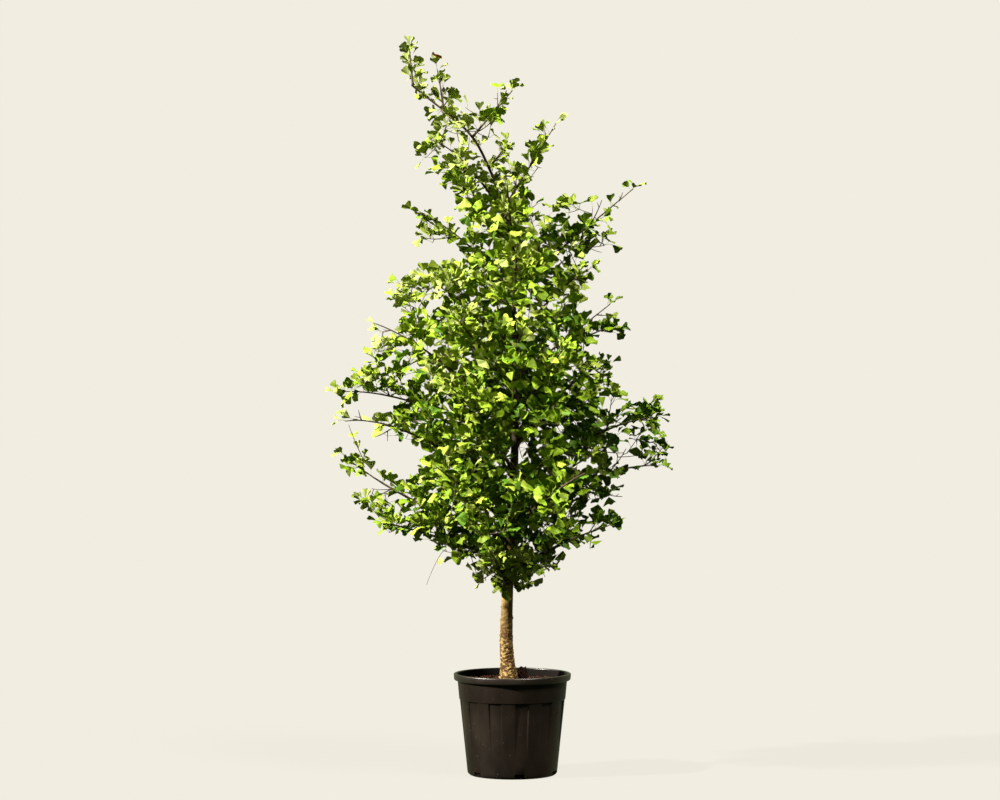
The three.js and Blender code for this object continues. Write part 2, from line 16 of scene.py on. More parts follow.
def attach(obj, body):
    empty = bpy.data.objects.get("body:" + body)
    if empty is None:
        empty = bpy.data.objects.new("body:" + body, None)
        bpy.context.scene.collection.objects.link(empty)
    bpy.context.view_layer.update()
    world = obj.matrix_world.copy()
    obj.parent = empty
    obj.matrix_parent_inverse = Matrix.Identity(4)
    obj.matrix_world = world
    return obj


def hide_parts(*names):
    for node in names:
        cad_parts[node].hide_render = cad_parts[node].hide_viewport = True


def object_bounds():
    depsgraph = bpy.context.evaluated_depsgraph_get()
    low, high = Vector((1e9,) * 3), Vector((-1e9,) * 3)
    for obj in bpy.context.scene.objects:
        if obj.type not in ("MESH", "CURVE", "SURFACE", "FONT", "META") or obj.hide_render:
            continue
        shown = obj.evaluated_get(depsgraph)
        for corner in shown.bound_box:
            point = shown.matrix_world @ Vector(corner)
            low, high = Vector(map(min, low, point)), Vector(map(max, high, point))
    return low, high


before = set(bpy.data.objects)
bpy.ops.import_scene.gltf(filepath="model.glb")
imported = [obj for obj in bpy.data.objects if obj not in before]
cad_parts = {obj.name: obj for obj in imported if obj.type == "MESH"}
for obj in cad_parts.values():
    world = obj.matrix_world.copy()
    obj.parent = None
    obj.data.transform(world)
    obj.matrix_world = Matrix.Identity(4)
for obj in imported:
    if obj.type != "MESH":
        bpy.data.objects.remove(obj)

MM = 0.001
UP = Vector((0, 0, 1))
BACK = Vector((0, 1, 0))
solids_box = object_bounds()
print("solids:", len(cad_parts), "nodes, box", solids_box)

# %% [markdown]
# A camera far away with a long lens keeps a tall plant from leaning. The picture is 1000 pixels wide,
# and each of them takes in 3.41 millimetres of the plant, so the focal length follows from both. The
# camera looks level, at half the tree's height: the rim of the pot is then seen from a little above.

# %% The camera
PICTURE_WIDTH = 1000
PIXELS_PER_METRE = 1000 / 3.41
CAMERA_PLACE = Vector((-0.042, -9.4, 1.275))
SENSOR_WIDTH = 36

camera_data = bpy.data.cameras.new("camera")
camera_data.sensor_width = SENSOR_WIDTH
camera_data.lens = SENSOR_WIDTH * PIXELS_PER_METRE * -CAMERA_PLACE.y / PICTURE_WIDTH
camera = bpy.data.objects.new("camera", camera_data)
camera.location = CAMERA_PLACE
camera.rotation_euler = (math.pi / 2, 0, 0)
bpy.context.collection.objects.link(camera)
bpy.context.scene.camera = camera
print("focal length in millimetres:", round(camera_data.lens, 1))

# %% [markdown]
# Every piece goes through the same last steps: it becomes an object at the origin, gets its material,
# rides on the one body, and names the solids that it stands for, which are hidden.

# %% Helpers that finish a piece
def add_piece(name, mesh, material, nodes, sharp=180):
    mesh.name = name
    mesh.materials.append(material)
    mesh.shade_smooth()
    mesh.set_sharp_from_angle(angle=math.radians(sharp))
    piece = bpy.data.objects.new(name, mesh)
    bpy.context.collection.objects.link(piece)
    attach(piece, "root")
    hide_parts(*nodes)
    mesh.calc_loop_triangles()
    print(f"{name}: {len(mesh.loop_triangles)} triangles")
    return piece


def mesh_from(bm):
    bmesh.ops.recalc_face_normals(bm, faces=bm.faces)
    mesh = bpy.data.meshes.new("made")
    bm.to_mesh(mesh)
    bm.free()
    return mesh


def smooth_step(low, high, value):
    share = min(max((value - low) / (high - low), 0), 1)
    return share * share * (3 - 2 * share)

# %% [markdown]
# A material here is a Principled shader with a few nodes in front of it. Such chains can be clicked
# together by hand in the shader editor, but helpers that add and feed nodes keep the many finishes of
# this plant short and alike. The noises read Object coordinates, stretched by a Mapping node where the
# real surface has a direction, so a pattern keeps its place and its true size on every piece.

# %% Helpers that start a material
def feed(material, socket, value):
    """Links a node's output to a socket, or sets the socket to a plain value."""
    if isinstance(value, bpy.types.NodeSocket):
        material.node_tree.links.new(value, socket)
    else:
        socket.default_value = value


def add_node(material, kind, inputs=(), **settings):
    node = material.node_tree.nodes.new(kind)
    for name, value in settings.items():
        setattr(node, name, value)
    for name, value in dict(inputs).items():
        feed(material, node.inputs[name], value)
    return node


def shader_of(material):
    return material.node_tree.nodes["Principled BSDF"]


def start_material(name, specular):
    material = bpy.data.materials.new(name)
    material.use_nodes = True
    shader_of(material).inputs["Specular IOR Level"].default_value = specular
    return material


def object_noise(material, scale, detail, stretch=(1, 1, 1)):
    place = add_node(material, "ShaderNodeTexCoord")
    mapping = add_node(
        material, "ShaderNodeMapping", {"Vector": place.outputs["Object"], "Scale": stretch}
    )
    inputs = {"Vector": mapping.outputs["Vector"], "Scale": scale, "Detail": detail}
    return add_node(material, "ShaderNodeTexNoise", inputs).outputs[0]

# %% [markdown]
# A noise by itself is only a grey value. The next helpers turn it into what is seen: a colour between
# two tones, a second colour laid over the first in patches, or a gloss between two limits. The last one
# joins the finished chains to the shader, where a noise also raises a fine bump.

# %% Helpers that turn a noise into colour, gloss and bump
MIX_INPUTS = (0, 6, 7)
MIX_COLOUR = 2


def between_tones(material, factor, low, high, dark, light):
    """A colour that runs from dark to light as the factor runs from low to high."""
    ramp = add_node(material, "ShaderNodeValToRGB", {"Fac": factor})
    for element, position, colour in zip(ramp.color_ramp.elements, (low, high), (dark, light)):
        element.position = position
        element.color = (*colour, 1)
    return ramp.outputs["Color"]


def mix_colours(material, factor, first, second, blend="MIX"):
    """The Mix node shows its factor and two colours as inputs 0, 6 and 7, its colour as output 2."""
    mix = add_node(material, "ShaderNodeMix", data_type="RGBA", blend_type=blend)
    for number, value in zip(MIX_INPUTS, (factor, first, second)):
        feed(material, mix.inputs[number], value)
    return mix.outputs[MIX_COLOUR]


def faded(material, value, low, high, top=1.0):
    """0 to top as the value runs from low to high."""
    fade = add_node(
        material,
        "ShaderNodeMapRange",
        {"Value": value, "From Min": low, "From Max": high, "To Max": top},
    )
    return fade.outputs["Result"]


def lay_over(material, under, colour, value, low, high, top=1.0):
    """Covers what is under it with a colour, more and more as the value runs from low to high."""
    return mix_colours(material, faded(material, value, low, high, top), under, (*colour, 1))


def between_limits(material, factor, low, high):
    """low to high as the factor runs from 0 to 1."""
    limits = {"Value": factor, "To Min": low, "To Max": high}
    return add_node(material, "ShaderNodeMapRange", limits).outputs["Result"]


def link_up(material, colour, roughness, height, depth, strength):
    """Joins the finished chains to the shader. Depth is how high the bump stands, in metres."""
    shader = shader_of(material)
    feed(material, shader.inputs["Base Color"], colour)
    feed(material, shader.inputs["Roughness"], roughness)
    bump = add_node(
        material, "ShaderNodeBump", {"Height": height, "Distance": depth, "Strength": strength}
    )
    feed(material, shader.inputs["Normal"], bump.outputs["Normal"])

# %% [markdown]
# A nursery pot is blown or pressed from black recycled plastic. It isn't quite black: dust and dried
# splashes leave a brown film, and the sheen is broken by a fine grain. The inside is dull and painted
# nearly black, as painted shade. A number stored on the mesh's points tells the inside from the outside.
# The rim
# gets a glossier finish of its own, because hands and rain keep it clean.

# %% Black plastic
PLASTIC_BLACK = (0.0042, 0.0029, 0.0020)
PLASTIC_DUSTY = (0.0130, 0.0092, 0.0063)
SPLASH = (0.10, 0.08, 0.055)
# Painted shade: the inside of the wall and the drain notches are coloured nearly black, as if in shadow.
PAINTED_SHADE_INSIDE = (0.0022, 0.0014, 0.0008)
INSIDE_MARK = "inside"
INSIDE_ROUGHNESS = 1.0
FILM_SPAN = (0.35, 0.72)


def make_plastic(name, specular, gloss_span, grain_strength):
    material = start_material(name, specular)
    film = object_noise(material, scale=9, detail=6, stretch=(1, 1, 0.5))
    film_colour = between_tones(material, film, *FILM_SPAN, PLASTIC_BLACK, PLASTIC_DUSTY)
    specks = object_noise(material, scale=210, detail=1)
    splashed = lay_over(material, film_colour, SPLASH, specks, low=0.76, high=0.80)
    gloss = object_noise(material, scale=26, detail=5)
    inside = add_node(material, "ShaderNodeAttribute", attribute_name=INSIDE_MARK).outputs["Fac"]
    # Painted shade: where the inside mark is 1, the colour turns nearly black.
    colour = mix_colours(material, inside, splashed, (*PAINTED_SHADE_INSIDE, 1))
    clean = between_limits(material, gloss, *gloss_span)
    dulled = add_node(
        material, "ShaderNodeMix", {"Factor": inside, "A": clean, "B": INSIDE_ROUGHNESS}
    )
    grain = object_noise(material, scale=650, detail=2)
    roughness = dulled.outputs["Result"]
    link_up(material, colour, roughness, grain, depth=0.25 * MM, strength=grain_strength)
    return material


black_plastic = make_plastic("black_plastic", 0.12, gloss_span=(0.30, 0.56), grain_strength=0.35)
rim_plastic = make_plastic("rim_plastic", 0.5, gloss_span=(0.30, 0.44), grain_strength=0.06)
print("made", black_plastic.name, "and", rim_plastic.name)

# %% [markdown]
# The pot is a turned shape: straight and a little tapered up to a small step, then a plain band up to
# the rim. Such a shape can be built from stacked cones, but a single outline is easier to correct. It
# is a row of points from the middle of the underside, up the wall, over the rim and down the inside.
# Each point is a radius and a height, and the wall's rows lie on a straight line between two of them.

# %% The pot's outline
POT_HEIGHT = 344 * MM
RIM_RADIUS = 200 * MM
BASE_RADIUS = 139 * MM
FOOT_RADIUS = BASE_RADIUS + 6 * MM
FOOT_CORNER = [(147 * MM, 2 * MM), (151.5 * MM, 5.5 * MM), (153.1 * MM, 10 * MM)]
WALL_FOOT = (153.7 * MM, 17 * MM)
WALL_TOP = (178.6 * MM, 256 * MM)
WALL_ROWS = [45, 75, 105, 140, 175, 210]
STEP_TOP = (WALL_TOP[0] + 2.4 * MM, WALL_TOP[1] + 2 * MM)
SHOULDER = (186 * MM, 312 * MM)
RIM_FOOT = POT_HEIGHT - 22 * MM
MOUTH_EDGE = POT_HEIGHT - 2 * MM
MOUTH = (188 * MM, 341 * MM)
INSIDE_TOP = (180 * MM, 312 * MM)
INSIDE_BAND = (172.6 * MM, 256 * MM)
INSIDE_NOTCH = (148.4 * MM, 17 * MM)
INSIDE_FLOOR = (147.5 * MM, 8 * MM)


def on_line(first, last, height):
    """The point of the straight line from first to last, both (radius, height), at a height."""
    share = (height - first[1]) / (last[1] - first[1])
    return (first[0] + (last[0] - first[0]) * share, height)


pot_outline = [
    (0, 0),
    (BASE_RADIUS, 0),
    (FOOT_RADIUS, 0),
    *FOOT_CORNER,
    WALL_FOOT,
    *[on_line(WALL_FOOT, WALL_TOP, height * MM) for height in WALL_ROWS],
    WALL_TOP,
    STEP_TOP,
    SHOULDER,
    (SHOULDER[0] + 1 * MM, RIM_FOOT),
    (MOUTH[0] + 1.5 * MM, MOUTH_EDGE),
    MOUTH,
    INSIDE_TOP,
    INSIDE_BAND,
    INSIDE_NOTCH,
    INSIDE_FLOOR,
    (0, INSIDE_FLOOR[1]),
]
print("points in the pot's outline:", len(pot_outline))

# %% [markdown]
# The outline is spun a full turn, in 144 steps of 2.5 degrees. Its first edge stands 3 degrees right of
# the front, where the side of a panel falls, so panels and drain notches can later be picked as whole
# blocks of faces. The points that lie on the axis fall together in the spin and are merged.

# %% Spin the outline
POT_STEPS = 144
FIRST_EDGE = math.radians(3)


def at_bearing(radius, height, bearing):
    """A point by its bearing, which counts from the front, -Y, towards the right, +X."""
    return Vector((radius * math.sin(bearing), -radius * math.cos(bearing), height))


def spin_outline(outline, steps):
    bm = bmesh.new()
    row = [bm.verts.new(at_bearing(radius, height, FIRST_EDGE)) for radius, height in outline]
    edges = [bm.edges.new(pair) for pair in zip(row, row[1:])]
    bmesh.ops.spin(
        bm,
        geom=row + edges,
        cent=(0, 0, 0),
        axis=UP,
        angle=2 * math.pi,
        steps=steps,
        use_merge=True,
    )
    bmesh.ops.remove_doubles(bm, verts=bm.verts, dist=0.01 * MM)
    return bm


pot = spin_outline(pot_outline, POT_STEPS)
print("faces of the spun pot:", len(pot.faces))

# %% [markdown]
# Twelve shallow panels are pressed into the wall. Each starts with a sharp step under the plain band
# and fades out towards the foot. They could be cut out with a Boolean, but the faces are already there:
# insetting a block of them gives the panel a narrow sloping edge, and moving what is inside the edge
# towards the axis gives the depth. It is deepest at the top, so the fade needs no extra faces.

# %% Press the panels into the wall
PANEL_PITCH = 30
PANEL_SPAN = (3, 18)
PANEL_FOOT = 75 * MM
PANEL_DEPTH = 4.2 * MM
PANEL_EDGE = 2.2 * MM


def bearing_of(face, pitch):
    """A face's bearing in degrees, counted anew from each multiple of the pitch."""
    centre = face.calc_center_median()
    return math.degrees(math.atan2(centre.x, -centre.y)) % pitch


def radius_of(point):
    return math.hypot(point.x, point.y)


def in_panel(face):
    centre = face.calc_center_median()
    outside = radius_of(centre) > on_line(WALL_FOOT, WALL_TOP, centre.z)[0] - 2 * MM
    in_height = PANEL_FOOT < centre.z < WALL_TOP[1]
    return outside and in_height and PANEL_SPAN[0] < bearing_of(face, PANEL_PITCH) < PANEL_SPAN[1]


panel_faces = [face for face in pot.faces if in_panel(face)]
bmesh.ops.inset_region(
    pot, faces=panel_faces, thickness=PANEL_EDGE, use_boundary=True, use_even_offset=True
)
for vert in {vert for face in panel_faces for vert in face.verts}:
    fade = (vert.co.z - PANEL_FOOT) / (WALL_TOP[1] - PANEL_FOOT)
    inward = Vector((vert.co.x, vert.co.y, 0)).normalized() * PANEL_DEPTH * fade
    vert.co -= inward
print("panels pressed from", len(panel_faces), "faces")

# %% [markdown]
# Six drain notches go right through the foot of the wall. The block of faces is deleted outside and
# inside, and the two holes that this leaves are bridged, which makes the notch's sides and ceiling.
# The layer for the mark of the inside is made first, because a new layer in a bmesh makes every point
# and edge that was picked before it unusable.

# %% Cut the drain notches
NOTCH_PITCH = 60
NOTCH_COUNT = 360 // NOTCH_PITCH
NOTCH_SPAN = (3, 15.5)
NOTCH_HEIGHT = 17 * MM
NOTCH_LEAST_RADIUS = 141 * MM
inside_mark = pot.verts.layers.float.new(INSIDE_MARK)


def in_notch(face):
    centre = face.calc_center_median()
    low_wall = 0 < centre.z < NOTCH_HEIGHT and radius_of(centre) > NOTCH_LEAST_RADIUS
    return low_wall and NOTCH_SPAN[0] < bearing_of(face, NOTCH_PITCH) < NOTCH_SPAN[1]


def notch_of(edge):
    middle = (edge.verts[0].co + edge.verts[1].co) / 2
    return math.degrees(math.atan2(middle.x, -middle.y)) % 360 // NOTCH_PITCH


notch_faces = [face for face in pot.faces if in_notch(face)]
bmesh.ops.delete(pot, geom=notch_faces, context="FACES")
open_edges = [edge for edge in pot.edges if edge.is_boundary]
notch_verts = {vert for edge in open_edges for vert in edge.verts}
for notch in range(NOTCH_COUNT):
    bmesh.ops.bridge_loops(pot, edges=[edge for edge in open_edges if notch_of(edge) == notch])
bmesh.ops.recalc_face_normals(pot, faces=pot.faces)
print("notches cut from", len(notch_faces), "faces")

# %% [markdown]
# The dull, nearly black colour of painted shade goes on the whole inside of the wall and round the
# drain notches, where shade falls. Each point there is marked with a 1. The outer skin lies at most as
# deep as the panels do, so whatever lies deeper is the inside. Last, every sharp edge of the pot is
# rounded a little: moulded plastic has no knife edges, and the small rounds are what catches the light.

# %% Mark the inside and round the edges
EDGE_ROUND = 0.9 * MM
SHARP = math.radians(24)
MARGIN = 1 * MM
BAND_SKIN = 3 * MM
WALL_SKIN = PANEL_DEPTH + 0.7 * MM


def is_inside(point):
    skin = BAND_SKIN if point.z > SHOULDER[1] - MARGIN else WALL_SKIN
    deep = radius_of(point) < on_line(WALL_FOOT, WALL_TOP, point.z)[0] - skin
    return point.z > INSIDE_FLOOR[1] - MARGIN and (deep or point.z > MOUTH[1] - MARGIN)


def round_edges(bm, width, segments):
    bmesh.ops.bevel(
        bm,
        geom=[edge for edge in bm.edges if edge.calc_face_angle(0) > SHARP],
        affect="EDGES",
        offset=width,
        segments=segments,
        profile=0.5,
        material=-1,
        clamp_overlap=True,
    )


# Painted shade: points inside the wall and round the notches get the nearly black colour.
for vert in pot.verts:
    at_notch = vert in notch_verts and vert.co.z < NOTCH_HEIGHT - MARGIN
    vert[inside_mark] = 1 if at_notch or is_inside(vert.co) else 0
round_edges(pot, EDGE_ROUND, segments=2)
add_piece("pot_wall", mesh_from(pot), black_plastic, ["pot"], sharp=50)

# %% [markdown]
# The rim is a ring of its own that hangs over the wall's top edge like a collar. Its outline is a closed
# loop, so the last point is joined to the first before the spin. The inner side of the ring lies inside
# the thickness of the wall, where it is never seen. Two rounded corners on top catch a thin bright line.

# %% The rim
RIM_ROUND = 1.3 * MM
rim_outline = [
    (SHOULDER[0] - 0.5 * MM, RIM_FOOT),
    (RIM_RADIUS - 3 * MM, RIM_FOOT),
    (RIM_RADIUS - 1 * MM, RIM_FOOT + 4 * MM),
    (RIM_RADIUS, MOUTH_EDGE),
    (RIM_RADIUS - 2 * MM, POT_HEIGHT),
    (MOUTH[0] + 2.5 * MM, POT_HEIGHT),
    (MOUTH[0] + 0.6 * MM, MOUTH_EDGE),
]
rim = spin_outline([*rim_outline, rim_outline[0]], POT_STEPS)
round_edges(rim, RIM_ROUND, segments=3)
add_piece("pot_rim", mesh_from(rim), rim_plastic, ["pot"], sharp=60)

# %% [markdown]
# Potting soil is peat with coarse bark and fibre in it, and it settles in low lumps. A noise that is
# laid over itself at finer and finer scales looks like that. The height of the bed is a function of the
# place, because chips and fibres have to find the ground later on. Near the trunk and the wall the
# lumps calm down, so the bed meets both at its level.

# %% The height of the soil
SOIL_LEVEL = 315 * MM
SOIL_RADIUS = 181.4 * MM
SOIL_CALM_BAND = 12 * MM
LUMP_HEIGHT = 5 * MM
LUMP_PITCH = (17 * MM, 21 * MM)
COARSE_SCALE = 55
FINE_SCALE = 260
TRUNK_FOOT_PLACE = Vector((-14.5 * MM, 1 * MM, 0))
TRUNK_CLEARING = 29 * MM


def layered_noise(place, octaves, fade=1):
    """A noise with finer ones on top of it, each twice as fine as the one before."""
    return noise.fractal(place, fade, 2, octaves)


def from_trunk_foot(x, y):
    return math.hypot(x - TRUNK_FOOT_PLACE.x, y - TRUNK_FOOT_PLACE.y)


def soil_height(x, y):
    """The height of the bed at a place, calm at the pot's wall and round the foot of the trunk."""
    lumps = 0.5 + 0.5 * math.sin(x / LUMP_PITCH[0]) * math.cos(y / LUMP_PITCH[1])
    calm = smooth_step(TRUNK_CLEARING, 3 * TRUNK_CLEARING, from_trunk_foot(x, y))
    calm *= 1 - smooth_step(SOIL_RADIUS - SOIL_CALM_BAND, SOIL_RADIUS, math.hypot(x, y))
    coarse = layered_noise(Vector((x, y, 0)) * COARSE_SCALE, octaves=3)
    fine = noise.noise(Vector((x, y, 3)) * FINE_SCALE)
    return SOIL_LEVEL + calm * LUMP_HEIGHT * lumps + (1.6 * coarse + 0.9 * fine) * MM


print("soil height at the pot's middle:", round(soil_height(0, 0), 4), "m")

# %% [markdown]
# The bed is a disc. Its rings are inset one after another down to the middle, and each point is lifted
# to its height. The disc's outer edge is then drawn down inside the pot and closed at the bottom, so
# that the soil is a solid body like the one it stands for, and not a skin.

# %% The bed of soil
SOIL_RING = 5 * MM
SOIL_RING_COUNT = 34
SOIL_STEPS = 144
SOIL_DEPTHS = [(171.9 * MM, 256 * MM), (147 * MM, 8.6 * MM)]

soil = bmesh.new()
bmesh.ops.create_circle(soil, cap_ends=True, radius=SOIL_RADIUS, segments=SOIL_STEPS)
for _ in range(SOIL_RING_COUNT):
    middle = max(soil.faces, key=lambda face: len(face.verts))
    bmesh.ops.inset_region(
        soil, faces=[middle], thickness=SOIL_RING, use_boundary=True, use_even_offset=True
    )
skirt_edges = [edge for edge in soil.edges if edge.is_boundary]
for vert in soil.verts:
    vert.co.z = soil_height(vert.co.x, vert.co.y)
for radius, height in SOIL_DEPTHS:
    drawn = bmesh.ops.extrude_edge_only(soil, edges=skirt_edges)["geom"]
    skirt_edges = [item for item in drawn if isinstance(item, bmesh.types.BMEdge)]
    for vert in (item for item in drawn if isinstance(item, bmesh.types.BMVert)):
        vert.co = Vector((vert.co.x, vert.co.y, 0)).normalized() * radius + UP * height
bmesh.ops.edgeloop_fill(soil, edges=skirt_edges)
print("soil bed of", len(soil.faces), "faces")

# %% [markdown]
# Wet peat is nearly black-brown and quite dull. Paler flecks of fibre and redder crumbs of bark break
# it up. A rough noise drives both the colour and the bump, so the pale grains also stand up.

# %% Peat, bark chips and fibre
PEAT_DARK = (0.0040, 0.0018, 0.0011)
PEAT_PALE = (0.019, 0.0090, 0.0052)
CRUMB = (0.085, 0.026, 0.012)
CHIP_DARK = (0.004, 0.002, 0.0012)
CHIP_PALE = (0.052, 0.014, 0.008)
FIBRE_DARK = (0.015, 0.007, 0.004)
FIBRE_PALE = (0.13, 0.070, 0.028)
PEAT_SPAN = (0.40, 0.68)
LITTER_SPAN = (0.35, 0.68)
PEAT_ROUGHNESS = 1.0
LITTER_ROUGHNESS = 0.95


def make_peat():
    material = start_material("peat", specular=0.05)
    grains = object_noise(material, scale=150, detail=6)
    ground = between_tones(material, grains, *PEAT_SPAN, PEAT_DARK, PEAT_PALE)
    crumbs = object_noise(material, scale=330, detail=2)
    colour = lay_over(material, ground, CRUMB, crumbs, low=0.63, high=0.70)
    link_up(material, colour, PEAT_ROUGHNESS, grains, depth=2.5 * MM, strength=0.9)
    return material


def make_litter(name, dark, pale, stretch):
    material = start_material(name, specular=0.08)
    streaks = object_noise(material, scale=120, detail=5, stretch=stretch)
    colour = between_tones(material, streaks, *LITTER_SPAN, dark, pale)
    link_up(material, colour, LITTER_ROUGHNESS, streaks, depth=0.6 * MM, strength=0.6)
    return material


peat = make_peat()
bark_chip = make_litter("bark_chip", CHIP_DARK, CHIP_PALE, stretch=(1, 3, 2))
tan_fibre = make_litter("tan_fibre", FIBRE_DARK, FIBRE_PALE, stretch=(2, 1, 1))
add_piece("soil_bed", mesh_from(soil), peat, ["soil"])

# %% [markdown]
# Much on a plant is strewn by chance: litter, knobs, twigs and leaves. Chance has to come out the same
# on every run, or nothing could be corrected. So it comes from a small generator that starts at a seed
# and mixes the bits of a growing number, the same one that dealt out the solids' twigs.

# %% A seeded generator
WORD = 0xFFFFFFFF
STRIDE = 0x6D2B79F5
ODD_FACTOR = 61


def seeded(seed):
    """Draws numbers from 0 to 1, always the same ones for the same seed."""
    state = seed & WORD

    def draw():
        nonlocal state
        state = (state + STRIDE) & WORD
        mixed = ((state ^ (state >> 15)) * (1 | state)) & WORD
        mixed = ((mixed + ((mixed ^ (mixed >> 7)) * (ODD_FACTOR | mixed))) & WORD) ^ mixed
        return (mixed ^ (mixed >> 14)) / (WORD + 1)

    return draw


def ranged(draw, low, high):
    return low + (high - low) * draw()


test_draw = seeded(1)
print("first draws from seed 1:", [round(test_draw(), 3) for _ in range(3)])

# %% [markdown]
# Hundreds of chips and fibres lie on the bed, and thousands of leaves hang above it. One of each kind
# is modelled, read into arrays, and joined many times over with a turn, a size and a place for each
# copy. Particles or instances would do it too, but joined copies are real geometry, which they stay
# when a scene is exported. Whole arrays at a time are quick, where an operator per copy would be slow.

# %% Join many copies of a small model
def arrays_of(bm):
    """A small model as arrays: its points, its triangles, and the triangles' corners in UV space."""
    bmesh.ops.triangulate(bm, faces=bm.faces)
    bm.verts.index_update()
    layer = bm.loops.layers.uv.verify()
    points = np.array([vert.co for vert in bm.verts])
    faces = np.array([[vert.index for vert in face.verts] for face in bm.faces])
    corners = np.array([[loop[layer].uv for loop in face.loops] for face in bm.faces])
    bm.free()
    return points, faces, corners


def join_copies(models, picks, matrices):
    """One mesh of many copies. Copy i is models[picks[i]] moved by the 3 x 4 matrix matrices[i]."""
    all_points, all_faces, all_corners, used = [], [], [], 0
    for pick, (points, faces, corners) in enumerate(models):
        chosen = matrices[picks == pick]
        count = len(chosen)
        moved = np.einsum("nij,pj->npi", chosen[:, :, :3], points) + chosen[:, None, :, 3]
        starts = used + len(points) * np.arange(count)
        all_points.append(moved.reshape(-1, 3))
        all_faces.append((faces[None] + starts[:, None, None]).reshape(-1, 3))
        all_corners.append(np.tile(corners.reshape(-1, 2), (count, 1)))
        used += len(points) * count
    mesh = bpy.data.meshes.new("joined")
    mesh.from_pydata(np.concatenate(all_points), [], np.concatenate(all_faces))
    mesh.uv_layers.new(name="UVMap").uv.foreach_set("vector", np.concatenate(all_corners).ravel())
    return mesh


def matrix_row(place, x_axis, y_axis, z_axis):
    return np.array([x_axis, y_axis, z_axis, place]).T

# %% [markdown]
# A bark chip is a flat splinter, and a fibre a thin curved thread. The chip is a box, bevelled and
# nudged out of true by a noise. Three plain noises read at three places make the nudge, because the
# ready-made noise vector changes each time Blender starts. The fibre is a three-sided rod, cut across
# and bent along its length. Both are one unit long and have only a few faces, because they are
# repeated hundreds of times.

# %% A chip and a fibre
CHIP_SHAPE = (1, 0.62, 0.24)
CHIP_BEVEL = 0.08
CHIP_NUDGE = 0.22
NUDGE_SCALE = 2.1
NUDGE_PLACES = (Vector((9.3, 1.5, 7.9)), Vector((2.2, 8.1, 4.4)), Vector((5.7, 3.6, 1.2)))
FIBRE_RADII = (0.016, 0.010)
FIBRE_CUTS = 5
FIBRE_BENDS = (0.12, 0.05)


def chip_model():
    bm = bmesh.new()
    bmesh.ops.create_cube(bm, size=1)
    bmesh.ops.scale(bm, vec=CHIP_SHAPE, verts=bm.verts)
    bmesh.ops.bevel(
        bm,
        geom=bm.edges[:],
        affect="EDGES",
        offset=CHIP_BEVEL,
        segments=1,
        profile=0.5,
        material=-1,
    )
    for vert in bm.verts:
        nudge = [noise.noise(vert.co * NUDGE_SCALE + place) for place in NUDGE_PLACES]
        vert.co += CHIP_NUDGE * Vector(nudge)
    return arrays_of(bm)


def fibre_model():
    bm = bmesh.new()
    thick, thin = FIBRE_RADII
    bmesh.ops.create_cone(bm, cap_ends=True, segments=3, radius1=thick, radius2=thin, depth=1)
    long_edges = [edge for edge in bm.edges if edge.calc_length() > 0.5]
    bmesh.ops.subdivide_edges(bm, edges=long_edges, cuts=FIBRE_CUTS)
    lay_down = Matrix.Rotation(math.pi / 2, 3, "Y")
    bmesh.ops.rotate(bm, cent=(0, 0, 0), matrix=lay_down, verts=bm.verts)
    for vert in bm.verts:
        vert.co.y += FIBRE_BENDS[0] * math.sin(2.4 * vert.co.x + 0.6)
        vert.co.z += FIBRE_BENDS[1] * math.cos(4 * vert.co.x)
    return arrays_of(bm)


chip = chip_model()
fibre = fibre_model()
print("triangles in a chip and in a fibre:", len(chip[1]), "and", len(fibre[1]))

# %% [markdown]
# Chips and fibres lie nearly flat on the bed, and a few chips lean. Each gets a place, a size, a turn
# and a tilt from the generator. The square root of the draw spreads them evenly over the round bed,
# where a plain draw would crowd them in the middle. None lies against the trunk.

# %% Strew them over the soil
CHIP_COUNT = 720
CHIP_SIZES = (3 * MM, 13 * MM)
CHIP_LEAN = 38
FIBRE_COUNT = 420
FIBRE_SIZES = (9 * MM, 34 * MM)
FIBRE_LEAN = 9
LITTER_REACH = 176 * MM
LITTER_LIFT = 0.05
litter_draw = seeded(5)


def strew(count, sizes, lean):
    """Matrices for litter on the soil, each piece tilted by up to lean degrees."""
    matrices = []
    while len(matrices) < count:
        radius = LITTER_REACH * math.sqrt(litter_draw())
        bearing = 2 * math.pi * litter_draw()
        x, y = radius * math.sin(bearing), -radius * math.cos(bearing)
        size = ranged(litter_draw, *sizes)
        turn = Matrix.Rotation(2 * math.pi * litter_draw(), 3, "Z")
        tilt = Matrix.Rotation(math.radians(ranged(litter_draw, -lean, lean)), 3, "X")
        roll = Matrix.Rotation(math.radians(ranged(litter_draw, -lean, lean)), 3, "Y")
        if from_trunk_foot(x, y) < TRUNK_CLEARING + size / 2:
            continue
        axes = (turn @ tilt @ roll * size).transposed()
        matrices.append(matrix_row((x, y, soil_height(x, y) + LITTER_LIFT * size), *axes))
    return np.array(matrices)


def join_litter(name, model, matrices, material):
    mesh = join_copies([model], np.zeros(len(matrices), int), matrices)
    add_piece(name, mesh, material, ["soil"], sharp=35)


join_litter("soil_chips", chip, strew(CHIP_COUNT, CHIP_SIZES, CHIP_LEAN), bark_chip)
join_litter("soil_fibres", fibre, strew(FIBRE_COUNT, FIBRE_SIZES, FIBRE_LEAN), tan_fibre)

# %% [markdown]
# One large crumbly clod of peat sits against the trunk on the right. It is a ball whose points are
# pushed in and out by a coarse and a fine noise, and which is then drawn out to its height. The noises
# act before the stretch, so the crumbs stretch along with it, as in a torn lump.

# %% The clod
CLOD_PLACE = Vector((33 * MM, 28 * MM, 331 * MM))
CLOD_SIZE = Vector((20 * MM, 18 * MM, 31 * MM))
CLOD_LUMPS = 0.20
CLOD_CRUMBS = 0.22

